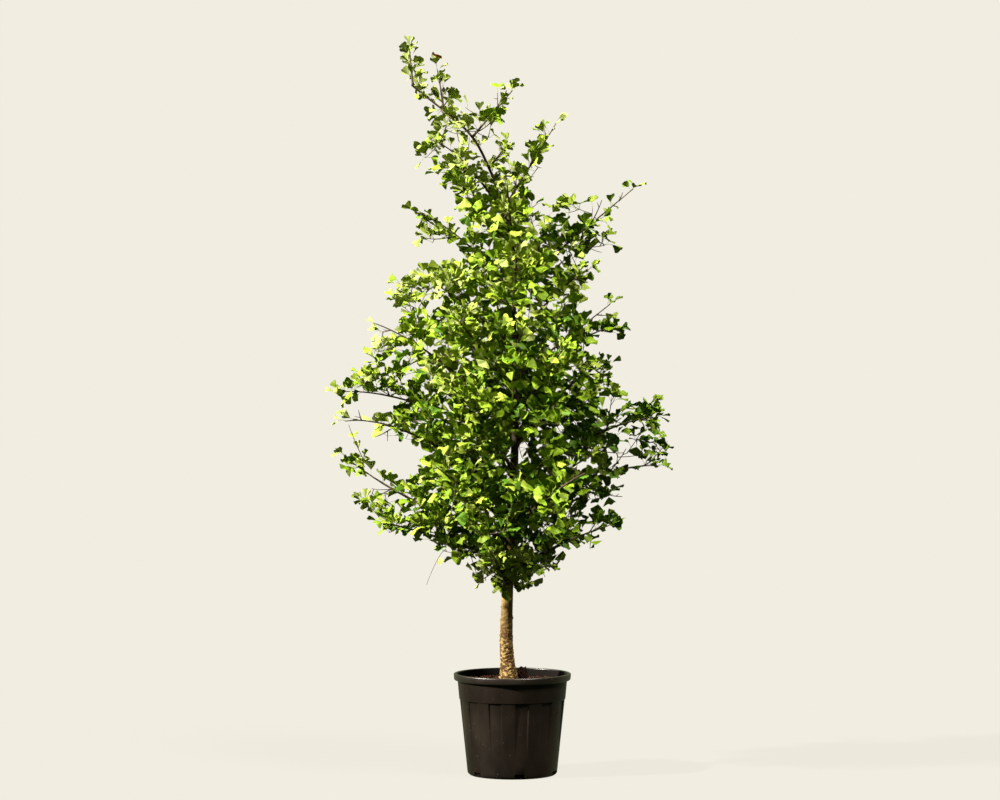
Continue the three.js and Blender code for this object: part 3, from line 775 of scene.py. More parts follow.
clod = bmesh.new()
bmesh.ops.create_icosphere(clod, subdivisions=5, radius=1)
for vert in clod.verts:
    lumps = CLOD_LUMPS * layered_noise(vert.co * 1.7, octaves=2)
    vert.co *= 1 + (lumps + CLOD_CRUMBS * noise.noise(vert.co * 5.5))
bmesh.ops.scale(clod, vec=CLOD_SIZE, verts=clod.verts)
bmesh.ops.translate(clod, vec=CLOD_PLACE, verts=clod.verts)
add_piece("soil_clod", mesh_from(clod), peat, ["soil"], sharp=60)

# %% [markdown]
# The trunk's centreline and girth are read from a few stations, with a smooth cubic between them. This
# is the same line that the trunk's solid follows: nearly straight from the soil, a slight sway, and a
# thin leader that leans out to the left at the top.

# %% The trunk's line
TRUNK_STATIONS = [  # height, x, y and radius in millimetres
    (315.3, -14.5, 1, 27),
    (350, -14.5, 1, 23.5),
    (433, -20, 3, 20),
    (600, -17, 2, 17),
    (1055, 6, -5, 13.5),
    (1290, 13, -2, 10.5),
    (1515, 6, 5, 8),
    (1805, 1, 9, 6),
    (1932, -33, 8, 5.2),
    (2063, -78, 6, 4.6),
    (2190, -152, 3, 4),
    (2345, -339, 0, 3),
]
TRUNK_FOOT = TRUNK_STATIONS[0][0] * MM
TRUNK_TIP = TRUNK_STATIONS[-1][0] * MM


def trunk_value(height, column):
    """x, y or radius (column 1, 2 or 3) at a height, everything in metres."""
    level = height / MM
    last = len(TRUNK_STATIONS) - 1
    i = 0
    while i < last - 1 and level > TRUNK_STATIONS[i + 1][0]:
        i += 1

    def slope(k):
        before, after = TRUNK_STATIONS[max(k - 1, 0)], TRUNK_STATIONS[min(k + 1, last)]
        return (after[column] - before[column]) / (after[0] - before[0])

    lower, upper = TRUNK_STATIONS[i], TRUNK_STATIONS[i + 1]
    span = upper[0] - lower[0]
    s = (level - lower[0]) / span
    value = lower[column] * (1 + 2 * s) * (1 - s) ** 2 + upper[column] * s * s * (3 - 2 * s)
    value += span * (slope(i) * s * (1 - s) ** 2 - slope(i + 1) * s * s * (1 - s))
    return value * MM


def trunk_at(height):
    return Vector((trunk_value(height, 1), trunk_value(height, 2), height))


def trunk_line(share):
    return trunk_at(TRUNK_FOOT + (TRUNK_TIP - TRUNK_FOOT) * share)


print("trunk from", TRUNK_FOOT, "to", TRUNK_TIP, "m")

# %% [markdown]
# Every limb, from the trunk down to the thinnest twig, is made the same way: a flat grid is rolled
# into a tube and carried along a line. Places along the line each hold a frame of three directions,
# and the frame is carried on from one place to the next, so that the tube doesn't twist. The first
# and the last ring close to a point. A relief function may push the skin in and out.

# %% Limbs as rolled grids
NUDGE = 1e-4
MOSTLY_BACK = 0.8
WELD = 0.001 * MM


def stations_along(line, start, end, steps):
    """Places on a line between two shares of it, each as (centre, tangent, normal, side)."""
    stations = []
    normal = None
    for i in range(steps + 1):
        share = start + (end - start) * i / steps
        low, high = max(share - NUDGE, 0), min(share + NUDGE, 1)
        tangent = (line(high) - line(low)).normalized()
        if normal is None:
            normal = BACK if abs(tangent.y) < MOSTLY_BACK else UP
        normal = (normal - tangent * normal.dot(tangent)).normalized()
        stations.append((line(share), tangent, normal, normal.cross(tangent)))
    return stations


def add_limb(bm, stations, radius_at, sides, relief=None):
    """Adds a tube to bm. radius_at takes a share of the length, relief a skin point and a share."""
    steps = len(stations) + 1
    made = bmesh.ops.create_grid(bm, x_segments=sides, y_segments=steps, size=1)["verts"]
    for vert in made:
        angle = math.pi * (vert.co.x + 1)
        row = round((vert.co.y + 1) / 2 * steps)
        station = min(max(row - 1, 0), len(stations) - 1)
        share = station / (len(stations) - 1)
        centre, _, normal, side = stations[station]
        closed = row in (0, steps)
        outward = normal * math.cos(angle) + side * math.sin(angle)
        vert.co = centre + outward * (0 if closed else radius_at(share))
        if relief and not closed:
            vert.co += outward * relief(vert.co, share, angle)
    bmesh.ops.remove_doubles(bm, verts=made, dist=WELD)

# %% [markdown]
# Short spurs and scars of cut shoots stand out from a young trunk as knobs. A few of them are large and
# have their own places near the foot, and thirty more are strewn up to where the leaves begin.
# A knob is a round swelling that fades with the distance along the bark, so it needs no faces of its
# own: it only lifts the skin.

# %% Knobs
KNOB_COUNT = 30
KNOB_HEIGHTS = (360 * MM, 1000 * MM)
KNOB_SIZES = (3.5 * MM, 6 * MM)
KNOB_LIFT = 0.9
KNOB_FADE = 2.2
trunk_draw = seeded(11)
knobs = [  # height, angle round the trunk from the back towards the right, and size
    (473 * MM, math.radians(262), 5 * MM),
    (455 * MM, math.radians(268), 4.5 * MM),
    (523 * MM, math.radians(272), 5 * MM),
    (570 * MM, math.radians(265), 5 * MM),
    (532 * MM, math.radians(95), 5.5 * MM),
]
for _ in range(KNOB_COUNT):
    knob_height = ranged(trunk_draw, *KNOB_HEIGHTS)
    knob_angle = 2 * math.pi * trunk_draw()
    knobs.append((knob_height, knob_angle, ranged(trunk_draw, *KNOB_SIZES)))


def knob_relief(height, angle):
    lift = 0
    for knob_height, knob_angle, size in knobs:
        if abs(height - knob_height) < 3 * size:
            turn = (angle - knob_angle + math.pi) % (2 * math.pi) - math.pi
            away = math.hypot(height - knob_height, turn * trunk_value(height, 3))
            lift += KNOB_LIFT * size * math.exp(-((away / size) ** 2) * KNOB_FADE)
    return lift


print("knobs on the trunk:", len(knobs))

# %% [markdown]
# Ginkgo bark on a young trunk is tan and breaks into small warts near the soil. Further up it is
# smoother, with short raised pores across the stem. A bump in the material could hint at it, but the
# outline would stay smooth, so all of it is real relief: domes round the points of a cell noise make
# the warts, and noises stretched upwards and sideways make the streaks and the pores.

# %% Warts, pores and streaks
WART_LEVELS = (370 * MM, 480 * MM, 580 * MM)
WART_HEIGHTS = (3.0 * MM, 1.3 * MM, 0.4 * MM)
WART_SQUAT = (0.8, 0.8, 1.25)
WARTS_PER_METRE = 135
WART_TOP = 0.40
WART_STEEPNESS = 0.7
WART_FRAY = 1.3
FRAY_SCALE = 120
STREAK_SCALES = (150, 150, 26)
STREAK_HEIGHT = 0.35
PORE_SCALES = (75, 75, 420)
PORE_START = 0.18
PORE_HEIGHT = 2.6


def stretched(point, scales):
    return Vector([value * scale for value, scale in zip(point, scales)])


def skin_relief(point, angle):
    """Warts, pores, streaks and knobs, in metres."""
    squat = stretched(point, WART_SQUAT)
    nearest = noise.voronoi(squat * WARTS_PER_METRE)[0]
    fray = layered_noise(squat * FRAY_SCALE, octaves=4, fade=0.9)
    dome = WART_TOP - WART_STEEPNESS * nearest[0] + WART_FRAY * fray
    wart_height = float(np.interp(point.z, WART_LEVELS, WART_HEIGHTS))
    streaks = STREAK_HEIGHT * layered_noise(stretched(point, STREAK_SCALES), octaves=3)
    pores = PORE_HEIGHT * max(noise.noise(stretched(point, PORE_SCALES)) - PORE_START, 0)
    return dome * wart_height + streaks * MM + pores * MM + knob_relief(point.z, angle)


print("wart heights:", WART_HEIGHTS, "m")

# %% [markdown]
# The trunk is one limb with 64 sides and more than 500 rings, crowded towards the foot where the bark
# is coarse. Its skin swells a little by chance, and the foot flares, most on the right, where a root
# leaves it. How high each point of the skin stands is stored with it, so that the colour can follow
# the relief later.

# %% The trunk with its bark
TRUNK_SIDES = 64
TRUNK_STEPS = 560
TRUNK_CROWDING = 1.6
SOIL_BITE = 7 * MM
BARK_THICKNESS = 2.6 * MM
BARK_THIN_FROM = 1200 * MM
SWELL_SCALE = 16
SWELL_SHARE = 0.05
FLARE_TOP = 408 * MM
FLARES = [(90, 7 * MM), (200, 3 * MM), (330, 4 * MM)]
RELIEF_MARK = "relief"


def bark_relief(point, share, angle):
    girth = trunk_value(max(point.z, TRUNK_FOOT), 3)
    flare = 1 - smooth_step(TRUNK_FOOT - SOIL_BITE, FLARE_TOP, point.z)
    roots = sum(
        size * max(math.cos(angle - math.radians(bearing)), 0) ** 3 for bearing, size in FLARES
    )
    thickness = BARK_THICKNESS * (1 - smooth_step(WART_LEVELS[0], BARK_THIN_FROM, point.z))
    slim = min(girth / trunk_value(TRUNK_FOOT, 3), 1)
    swell = girth * SWELL_SHARE * noise.noise(point * SWELL_SCALE)
    return thickness + swell + flare**2 * roots + slim * skin_relief(point, angle)


def trunk_share(share):
    """Rings crowd towards the foot, where the bark is coarse."""
    return trunk_line(share**TRUNK_CROWDING)


def make_trunk():
    bm = bmesh.new()
    stations = stations_along(trunk_share, 0, 1, TRUNK_STEPS)
    foot = stations[0]
    stations.insert(0, (foot[0] - UP * SOIL_BITE, *foot[1:]))

    def radius_at(share):
        height = stations[round(share * (len(stations) - 1))][0].z
        return trunk_value(max(height, TRUNK_FOOT), 3)

    add_limb(bm, stations, radius_at, TRUNK_SIDES, bark_relief)
    mark = bm.verts.layers.float.new(RELIEF_MARK)
    for vert in bm.verts:
        vert[mark] = skin_relief(vert.co, 0) / WART_HEIGHTS[0]
    return bm


trunk = make_trunk()
print("trunk of", len(trunk.faces), "faces")

# %% [markdown]
# The bark's colour follows its relief: the warts are straw yellow, the hollows between them dark
# brown, and the smooth skin further up is tan with a few rusty patches and one large rusty scar. Inside
# the crown the trunk is painted dark, as painted shade under the leaves. Each of these is one colour
# laid over what is there already, by the relief, by height, by a noise, or by the distance from one
# place.

# %% The trunk's bark
BARK_CRACK = (0.050, 0.024, 0.006)
BARK_TAN = (0.135, 0.082, 0.024)
BARK_STRAW = (0.275, 0.190, 0.066)
BARK_RUST = (0.105, 0.042, 0.008)
BARK_SCAR = (0.060, 0.020, 0.003)
BARK_SHADY = (0.024, 0.016, 0.009)
HOLLOW_SPAN = (-0.75, 0.15)
STREAK_SPAN = (0.34, 0.62)
SMOOTH_SHARE = 0.75
SCAR_PLACE = (-24 * MM, -19 * MM, 475 * MM)
SCAR_SIZE = (4 * MM, 8 * MM)
CROWN_SHADE = (600 * MM, 900 * MM)
BARK_ROUGHNESS = 0.85


def make_bark():
    material = start_material("trunk_bark", specular=0.2)
    place = add_node(material, "ShaderNodeTexCoord").outputs["Object"]
    height = add_node(material, "ShaderNodeSeparateXYZ", {"Vector": place}).outputs["Z"]
    relief = add_node(material, "ShaderNodeAttribute", attribute_name=RELIEF_MARK).outputs["Fac"]
    hollows = between_tones(material, relief, *HOLLOW_SPAN, BARK_CRACK, BARK_TAN)
    warty = lay_over(material, hollows, BARK_STRAW, relief, low=0.05, high=0.80)
    streaks = object_noise(material, scale=90, detail=8, stretch=(1, 1, 0.4))
    smooth = between_tones(material, streaks, *STREAK_SPAN, BARK_TAN, BARK_STRAW)
    upper = faded(material, height, *WART_LEVELS[1:], SMOOTH_SHARE)
    skin = mix_colours(material, upper, warty, smooth)
    patches = object_noise(material, scale=22, detail=4, stretch=(1, 1, 0.55))
    skin = lay_over(material, skin, BARK_RUST, patches, low=0.60, high=0.72, top=0.6)
    from_scar = add_node(
        material, "ShaderNodeVectorMath", {0: place, 1: SCAR_PLACE}, operation="DISTANCE"
    ).outputs["Value"]
    skin = lay_over(
        material, skin, BARK_SCAR, from_scar, low=SCAR_SIZE[1], high=SCAR_SIZE[0], top=0.85
    )
    specks = object_noise(material, scale=330, detail=3)
    skin = lay_over(material, skin, BARK_CRACK, specks, low=0.60, high=0.68, top=0.7)
    # Painted shade: the trunk darkens from 0.6 to 0.9 m up, inside the crown.
    skin = lay_over(material, skin, BARK_SHADY, height, *CROWN_SHADE, top=0.9)
    link_up(material, skin, BARK_ROUGHNESS, specks, depth=0.8 * MM, strength=0.5)
    return material


trunk_bark = make_bark()
add_piece("trunk_wood", mesh_from(trunk), trunk_bark, ["trunk"])

# %% [markdown]
# Boughs and twigs have a dark, smoother skin with a grey bloom on it. A streaky noise mixes the two,
# and a fine grain breaks the sheen. One finish serves them all, from the boughs to the finest twig.

# %% Young bark
TWIG_DARK = (0.020, 0.012, 0.006)
TWIG_GREY = (0.100, 0.068, 0.038)
BLOOM_SPAN = (0.36, 0.66)
TWIG_ROUGHNESS = 0.7


def make_young_bark():
    material = start_material("young_bark", specular=0.3)
    streaks = object_noise(material, scale=95, detail=5)
    colour = between_tones(material, streaks, *BLOOM_SPAN, TWIG_DARK, TWIG_GREY)
    grain = object_noise(material, scale=420, detail=3)
    link_up(material, colour, TWIG_ROUGHNESS, grain, depth=0.5 * MM, strength=0.5)
    return material


young_bark = make_young_bark()
print("made", young_bark.name)

# %% [markdown]
# Shoots leave the trunk on the way up. Each has a foot height, an azimuth that counts from the right
# towards the back, a reach and a rise, and an arch that says whether it sweeps up at its end (0) or
# arches over (1). The first nineteen rows are the thick ones whose lower part is a bare bough, and the
# others grow straight out of the thin upper trunk. A table keeps all of them in sight at once.

# %% The table of shoots
SHOOTS = [  # name, foot in mm, azimuth in degrees, reach and rise in mm, arch
    ("low_left", 720, 192, 480, 150, 0.5),
    ("low_right", 690, 348, 385, 170, 0.5),
    ("low_front", 645, 256, 300, 150, 0.4),
    ("low_back", 655, 76, 320, 150, 0.4),
    ("sweep_left", 800, 169, 618, 313, 0),
    ("sweep_right", 860, 6, 549, 182, 1),
    ("front_left", 850, 234, 470, 230, 0.3),
    ("front_right", 830, 303, 480, 215, 0.5),
    ("back_left", 880, 128, 490, 240, 0.4),
    ("back_right", 875, 46, 500, 225, 0.6),
    ("long_left", 930, 194, 615, 265, 1),
    ("long_right", 980, 347, 531, 235, 0.8),
    ("mid_left", 1115, 175, 642, 181, 1),
    ("mid_front", 1030, 240, 450, 300, 0.5),
    ("mid_back", 1060, 86, 460, 280, 0.5),
    ("mid_right", 1110, 4, 350, 285, 0.8),
    ("high_left", 1180, 189, 517, 362, 0.6),
    ("high_right", 1230, 351, 377, 275, 1),
    ("high_front", 1200, 298, 410, 290, 0.4),
    ("high_back", 1220, 122, 420, 300, 0.5),
    ("upper_left", 1320, 161, 434, 302, 0.5),
    ("upper_front", 1280, 232, 380, 300, 0.4),
    ("upper_back", 1260, 50, 390, 300, 0.4),
    ("upper_right", 1350, 17, 374, 281, 0.3),
    ("crown_left", 1450, 199, 361, 255, 0.5),
    ("crown_right", 1480, 342, 296, 247, 0.6),
    ("crown_front", 1540, 272, 300, 280, 0.4),
    ("crown_back", 1570, 95, 300, 290, 0.4),
    ("arm_left", 1640, 174, 374, 283, 0.7),
    ("arm_right", 1660, 4, 441, 365, 0.3),
    ("neck_front", 1780, 262, 215, 290, 0.4),
    ("neck_back", 1830, 84, 215, 270, 0.4),
    ("spire_left", 1900, 188, 285, 258, 0.8),
    ("spire_right", 1925, 6, 205, 335, 0.3),
    ("top_middle", 2066, 10, 104, 120, 0.4),
    ("top_right", 2172, 348, 169, 188, 0.3),
    ("leader_side", 2262, 160, 34, 176, 0.5),
    ("leader", 2345, 180, 17, 158, 0.5),
]
print("shoots in the table:", len(SHOOTS))

# %% [markdown]
# Each row becomes a curve, a cubic Bezier from the trunk's middle to the shoot's furthest tip. Its two
# middle points carry the arch: the higher they are lifted, the more the shoot rises first and bends
# over later. The stem ends one leaf's length short of the tip, because the last leaf takes up the rest.

# %% The shoots' lines
BOUGH_COUNT = 19
BOUGH_SHARE = 0.16
LAST_LEAF = 52 * MM
SHOOT_GIRTH = 0.5
SHOOT_LEAST_RADIUS = 4.4 * MM
EARLY = (0.35, 0.2, 0.5)
LATE = (0.75, 0.55, 0.65)


def bezier(points):
    """A cubic curve through the first and last of four points, as a function of a share."""

    def at(share):
        rest = 1 - share
        a, b, c, d = points
        return a * rest**3 + b * (3 * rest * rest * share) + c * (3 * rest * share**2) + d * share**3

    return at


def length_of(line, start=0.0, end=1.0, steps=24):
    places = [line(start + (end - start) * i / steps) for i in range(steps + 1)]
    return sum((b - a).length for a, b in zip(places, places[1:]))


def plan_shoot(index, name, foot, azimuth, reach, rise, arch):
    """EARLY and LATE say how far out and up the two bends are, and how much the arch adds."""
    start = trunk_at(foot * MM)
    angle = math.radians(azimuth)
    out = Vector((math.cos(angle), math.sin(angle), 0)) * reach * MM
    lift = UP * rise * MM
    bends = [start + out * way + lift * (up + more * arch) for way, up, more in (EARLY, LATE)]
    line = bezier([start, *bends, start + out + lift])
    stem_from = BOUGH_SHARE if index < BOUGH_COUNT else 0
    stem_to = 1 - LAST_LEAF / length_of(line)
    root_radius = max(trunk_value(foot * MM, 3) * SHOOT_GIRTH, SHOOT_LEAST_RADIUS)
    return {
        "name": name,
        "index": index,
        "line": line,
        "stem_from": stem_from,
        "stem_to": stem_to,
        "length": length_of(line, stem_from, stem_to),
        "root_radius": root_radius,
    }


shoots = [plan_shoot(index, *row) for index, row in enumerate(SHOOTS)]
print(len(shoots), "shoots,", round(sum(shoot["length"] for shoot in shoots), 1), "m of stems")

# %% [markdown]
# Each mass of foliage keeps to its own space: a point belongs to the shoot whose line is nearest. That
# keeps the shoots readable as separate sprays, with sky between them. The distances from many points
# to all the lines are worked out at once in arrays, because thousands of leaves ask for them later.

# %% The space of each shoot
SPACE_SAMPLES = 10


def sample_line(shoot):
    shares = np.linspace(shoot["stem_from"], 1, SPACE_SAMPLES + 1)
    return np.array([shoot["line"](share) for share in shares])


line_points = np.array([sample_line(shoot) for shoot in shoots])
segment_starts = line_points[:, :-1]
segments = line_points[:, 1:] - segment_starts
print("points along the shoots' lines:", line_points.shape[0] * line_points.shape[1])


def distances_to_shoots(points):
    """For N points, an array of N x shoots with the distance from each point to each line."""
    away = points[:, None, None, :] - segment_starts[None]
    along = (away * segments[None]).sum(3) / (segments**2).sum(2)[None]
    gaps = away - np.clip(along, 0, 1)[..., None] * segments[None]
    return np.sqrt((gaps**2).sum(3)).min(2)


def depth_in_space(points, owners):
    """How much nearer each point is to its own shoot than to any other, in metres."""
    table = distances_to_shoots(points)
    rows = np.arange(len(points))
    own = table[rows, owners].copy()
    table[rows, owners] = np.inf
    return table.min(1) - own

# %% [markdown]
# The lower edge of the crown is drawn in to the trunk from both sides, like the foot of a spindle. It
# is given as a row of points across the crown, with straight lines between them, and nothing leafy
# grows under it.

# %% The crown's lower edge
LOWER_EDGE = [  # x, and the lowest height of leaves there, in metres
    (-0.45, 0.84),
    (-0.28, 0.77),
    (-0.21, 0.74),
    (-0.14, 0.66),
    (-0.10, 0.635),
    (-0.06, 0.588),
    (0.03, 0.592),
    (0.09, 0.64),
    (0.155, 0.672),
    (0.17, 0.74),
    (0.21, 0.785),
    (0.25, 0.75),
    (0.40, 0.80),
]


def over_lower_edge(places):
    """Tells which of N places are over the crown's lower edge."""
    return places[:, 2] > np.interp(places[:, 0], *zip(*LOWER_EDGE))


print("lowest leaves at", min(height for _, height in LOWER_EDGE), "m")

# %% [markdown]
# Everything that carries leaves is kept in the same form, a carrier: a line, the part of it that is
# used, a few stations along it and its length. A twig is the simplest one. It sets off straight, leans
# away from its parent, and lifts its end a little towards the light.

# %% One twig
TWIG_LIFT = 0.12
TWIG_HANDLES = (0.35, 0.7)


def leaning_from(station, turn, lean):
    """A direction that leans away from a line at one of its stations. Both angles are in degrees."""
    _, tangent, normal, side = station
    outward = normal * math.cos(math.radians(turn)) + side * math.sin(math.radians(turn))
    return tangent * math.cos(math.radians(lean)) + outward * math.sin(math.radians(lean))


def twig_line(root, direction, reach):
    """A twig that sets off straight and then lifts its end a little."""
    end = root + direction * reach + UP * TWIG_LIFT * reach
    return bezier([root, *[root + direction * reach * way for way in TWIG_HANDLES], end])


def station_on(carrier, share):
    """A place on a carrier: its true centre, with the directions of the coarse station before it."""
    steps = len(carrier["stations"]) - 1
    coarse = carrier["stations"][min(int(share * steps), steps - 1)]
    return (carrier["line"](carrier["start"] + carrier["span"] * share), *coarse[1:])


def make_carrier(line, start, end, steps, **facts):
    return {
        "line": line,
        "start": start,
        "span": end - start,
        "stations": stations_along(line, start, end, steps),
        "length": length_of(line, start, end),
        **facts,
    }

# %% [markdown]
# Twigs branch from a stem by one rule. They are spread along it, crowded towards its root, each turned
# by the golden angle from the last one and leaning away by a seeded amount, and shorter towards the
# tip. The same rule then grows finer twigs on those twigs, at a smaller scale. A twig that would end
# in another shoot's space or under the crown's lower edge isn't grown.

# %% Twigs by a seeded rule
SEED = 50
GOLDEN_ANGLE = 137.5
STEM_STEPS = 4
TWIG_STEPS = 2
TWIG_CROWDING = 1.7
TWIG_RULE = {"spacing": 88 * MM, "lean": (40, 75), "shares": (0.42, 0.68), "margin": 0}
FINE_RULE = {"spacing": 32 * MM, "lean": (35, 80), "shares": (0.45, 0.85), "margin": -25 * MM}
STEM_TIP_RADIUS = 1.6 * MM
TWIG_RADII = (2.6 * MM, 1.3 * MM)
FINE_RADII = (1.5 * MM, 0.9 * MM)


def grow_twigs(parent, draw, rule, **facts):
    """Shares say how long twigs are next to their parent, margin how far in its space they end."""
    count = round(parent["length"] / rule["spacing"])
    first_turn = 360 * draw()
    grown = []
    for i in range(count):
        share = ((i + 0.5) / count) ** TWIG_CROWDING
        root = station_on(parent, share)
        direction = leaning_from(root, first_turn + GOLDEN_ANGLE * i, ranged(draw, *rule["lean"]))
        reach = parent["length"] * ranged(draw, *rule["shares"]) * (1 - share)
        line = twig_line(root[0], direction, reach)
        end = np.array([line(1)])
        in_space = depth_in_space(end, np.array([parent["shoot"]]))[0] > rule["margin"]
        if in_space and over_lower_edge(end)[0]:
            grown.append(make_carrier(line, 0, 1, TWIG_STEPS, shoot=parent["shoot"], **facts))
    return grown


def grow_spray(shoot):
    """A shoot's stem, its twigs and the fine twigs on them, in that order."""
    draw = seeded(SEED + shoot["index"])
    span = (shoot["stem_from"], shoot["stem_to"])
    radii = (shoot["root_radius"], STEM_TIP_RADIUS)
    stem = make_carrier(
        shoot["line"], *span, STEM_STEPS, shoot=shoot["index"], order=0, radii=radii
    )
    twigs = grow_twigs(stem, draw, TWIG_RULE, order=1, radii=TWIG_RADII)
    fine_twigs = []
    for twig in twigs:
        fine_twigs += grow_twigs(twig, draw, FINE_RULE, order=2, radii=FINE_RADII)
    return [stem, *twigs, *fine_twigs]


carriers = [carrier for shoot in shoots for carrier in grow_spray(shoot)]
orders = [sum(carrier["order"] == order for carrier in carriers) for order in range(3)]
print("stems, twigs and fine twigs:", orders)

# %% [markdown]
# The finer twigs so far follow the stems, which leaves hollows between one stem and the next. A real
# crown closes them: shoots grow towards the light where there is room. The heart of the crown, the
# part that is closed, is given as a reach from the trunk at a few heights, to the left and to the
# right. Round the trunk the reach changes smoothly from one to the other.

# %% The heart of the crown
HEART = [  # height, and reach from the trunk to the left and to the right, in metres
    (0.62, 0.06, 0.04),
    (0.66, 0.12, 0.10),
    (0.70, 0.17, 0.16),
    (0.765, 0.24, 0.20),
    (0.80, 0.34, 0.26),
    (0.83, 0.42, 0.29),
    (0.90, 0.43, 0.26),
    (0.97, 0.40, 0.28),
    (1.04, 0.33, 0.29),
    (1.11, 0.33, 0.29),
    (1.24, 0.39, 0.31),
    (1.31, 0.43, 0.31),
    (1.38, 0.40, 0.29),
    (1.45, 0.38, 0.26),
    (1.515, 0.38, 0.34),
    (1.58, 0.29, 0.25),
    (1.65, 0.36, 0.22),
    (1.72, 0.29, 0.21),
    (1.79, 0.20, 0.23),
    (1.855, 0.18, 0.18),
    (1.93, 0.14, 0.11),
    (2.06, 0.06, 0.09),
    (2.20, 0.03, 0.04),
]
HEART_EDGE = (0.88, 1.08)
print("the heart spans", HEART[0][0], "to", HEART[-1][0], "m")

# %% [markdown]
# Outside the heart, a few places are dense as well: the clumps in which single sprays end. Each is a
# small disc as seen from the front, some way deep. One function tells how much a place belongs to the
# heart or to a clump, and twigs and leaves both ask it.

# %% Dense clumps
CLUMPS = [  # x, height and radius of dense clumps, in metres
    (-0.340, 2.365, 0.030),
    (-0.315, 2.320, 0.030),
    (-0.144, 2.255, 0.030),
    (-0.225, 2.200, 0.045),
    (-0.200, 2.180, 0.030),
    (-0.076, 2.195, 0.030),
    (-0.281, 2.128, 0.030),
    (-0.205, 2.055, 0.045),
    (-0.150, 1.985, 0.045),
    (-0.145, 1.920, 0.030),
    (0.060, 2.026, 0.025),
    (0.130, 1.850, 0.045),
    (0.200, 1.170, 0.030),
    (-0.210, 1.175, 0.030),
    (0.200, 1.915, 0.030),
    (0.250, 1.850, 0.030),
    (-0.281, 1.855, 0.035),
    (-0.349, 1.616, 0.045),
    (-0.44, 1.44, 0.03),
    (-0.51, 1.33, 0.03),
    (-0.553, 1.160, 0.020),
    (-0.553, 1.037, 0.020),
    (-0.485, 0.934, 0.045),
    (0.455, 1.200, 0.045),
    (0.475, 1.125, 0.060),
    (0.333, 1.037, 0.030),
    (0.333, 0.855, 0.030),
    (0.197, 0.900, 0.020),
    (0.265, 0.785, 0.020),
    (0.125, 0.705, 0.040),
    (0.060, 0.680, 0.040),
    (-0.030, 0.645, 0.040),
]
CLUMP_DEPTH = 95 * MM


def in_clump(place):
    if abs(place[1]) >= CLUMP_DEPTH:
        return False
    return any(math.hypot(place[0] - x, place[2] - height) < radius for x, height, radius in CLUMPS)


def heart_share(place):
    """1 in the heart of the crown and in clumps, 0 out among the single sprays."""
    if in_clump(place):
        return 1
    axis = trunk_at(min(max(place[2], TRUNK_FOOT), TRUNK_TIP))
    away = math.hypot(place[0] - axis.x, place[1] - axis.y)
    heights, lefts, rights = zip(*HEART)
    left, right = np.interp(place[2], heights, lefts), np.interp(place[2], heights, rights)
    rightness = 0.5 + 0.5 * (place[0] - axis.x) / max(away, MM)
    reach = left + (right - left) * rightness
    return 1 - smooth_step(HEART_EDGE[0] * reach, HEART_EDGE[1] * reach, away)


print("dense clumps:", len(CLUMPS))

# %% [markdown]
# A crown isn't closed everywhere: between the sprays there are gaps, and the sky shows through them.
# Each is an ellipse as seen from the front, and goes right through the crown. A gap that is kept free
# on purpose gives the crown its own outline, where chance alone would fill it like a hedge.

# %% Gaps with sky behind them
GAPS = [  # x, height, and half width and half height of openings with sky behind them, in metres
    (-0.500, 1.250, 0.085, 0.038),
    (-0.485, 1.150, 0.040, 0.050),
    (0.535, 1.190, 0.030, 0.070),
    (-0.212, 0.765, 0.034, 0.020),
    (0.150, 0.765, 0.034, 0.020),
    (-0.434, 1.115, 0.075, 0.042),
    (-0.478, 0.980, 0.070, 0.028),
    (-0.349, 1.040, 0.034, 0.026),
    (0.374, 1.088, 0.055, 0.045),
    (0.240, 1.048, 0.055, 0.025),
    (0.400, 0.960, 0.055, 0.045),
    (-0.332, 1.589, 0.030, 0.020),
    (-0.470, 1.590, 0.075, 0.050),
    (-0.417, 1.520, 0.034, 0.034),
    (-0.520, 1.480, 0.040, 0.025),
    (0.240, 1.992, 0.100, 0.034),
    (0.370, 1.985, 0.040, 0.022),
    (0.275, 1.925, 0.045, 0.030),
    (0.340, 1.245, 0.030, 0.022),
    (0.360, 0.905, 0.050, 0.025),
    (0.300, 1.787, 0.050, 0.032),
    (0.280, 1.590, 0.070, 0.028),
    (0.250, 1.446, 0.042, 0.020),
    (0.197, 1.378, 0.028, 0.020),
    (-0.076, 2.320, 0.030, 0.045),
    (-0.190, 2.400, 0.060, 0.035),
    (-0.235, 2.300, 0.020, 0.030),
    (-0.400, 2.310, 0.040, 0.040),
    (-0.300, 2.195, 0.034, 0.034),
    (-0.110, 2.190, 0.045, 0.034),
    (-0.076, 2.128, 0.032, 0.035),
    (-0.212, 2.125, 0.030, 0.020),
    (0.010, 2.175, 0.030, 0.025),
    (0.110, 2.060, 0.026, 0.050),
    (-0.008, 2.060, 0.028, 0.030),
    (0.090, 1.930, 0.050, 0.024),
    (-0.287, 1.787, 0.045, 0.028),
    (-0.178, 1.768, 0.032, 0.026),
    (-0.262, 1.446, 0.036, 0.018),
    (-0.195, 1.378, 0.032, 0.018),
    (0.052, 1.225, 0.018, 0.030),
    (0.010, 1.105, 0.034, 0.030),
    (-0.090, 1.985, 0.022, 0.022),
    (-0.170, 1.865, 0.040, 0.016),
    (-0.480, 1.100, 0.040, 0.025),
    (-0.262, 1.930, 0.050, 0.016),
    (-0.262, 1.592, 0.034, 0.018),
    (-0.195, 1.446, 0.028, 0.020),
    (-0.140, 1.425, 0.022, 0.018),
    (0.129, 1.450, 0.030, 0.020),
    (0.060, 1.565, 0.022, 0.020),
    (0.129, 1.590, 0.028, 0.020),
    (-0.076, 1.600, 0.022, 0.018),
    (0.170, 1.500, 0.034, 0.018),
    (0.265, 0.832, 0.026, 0.026),
    (-0.212, 0.900, 0.026, 0.018),
]


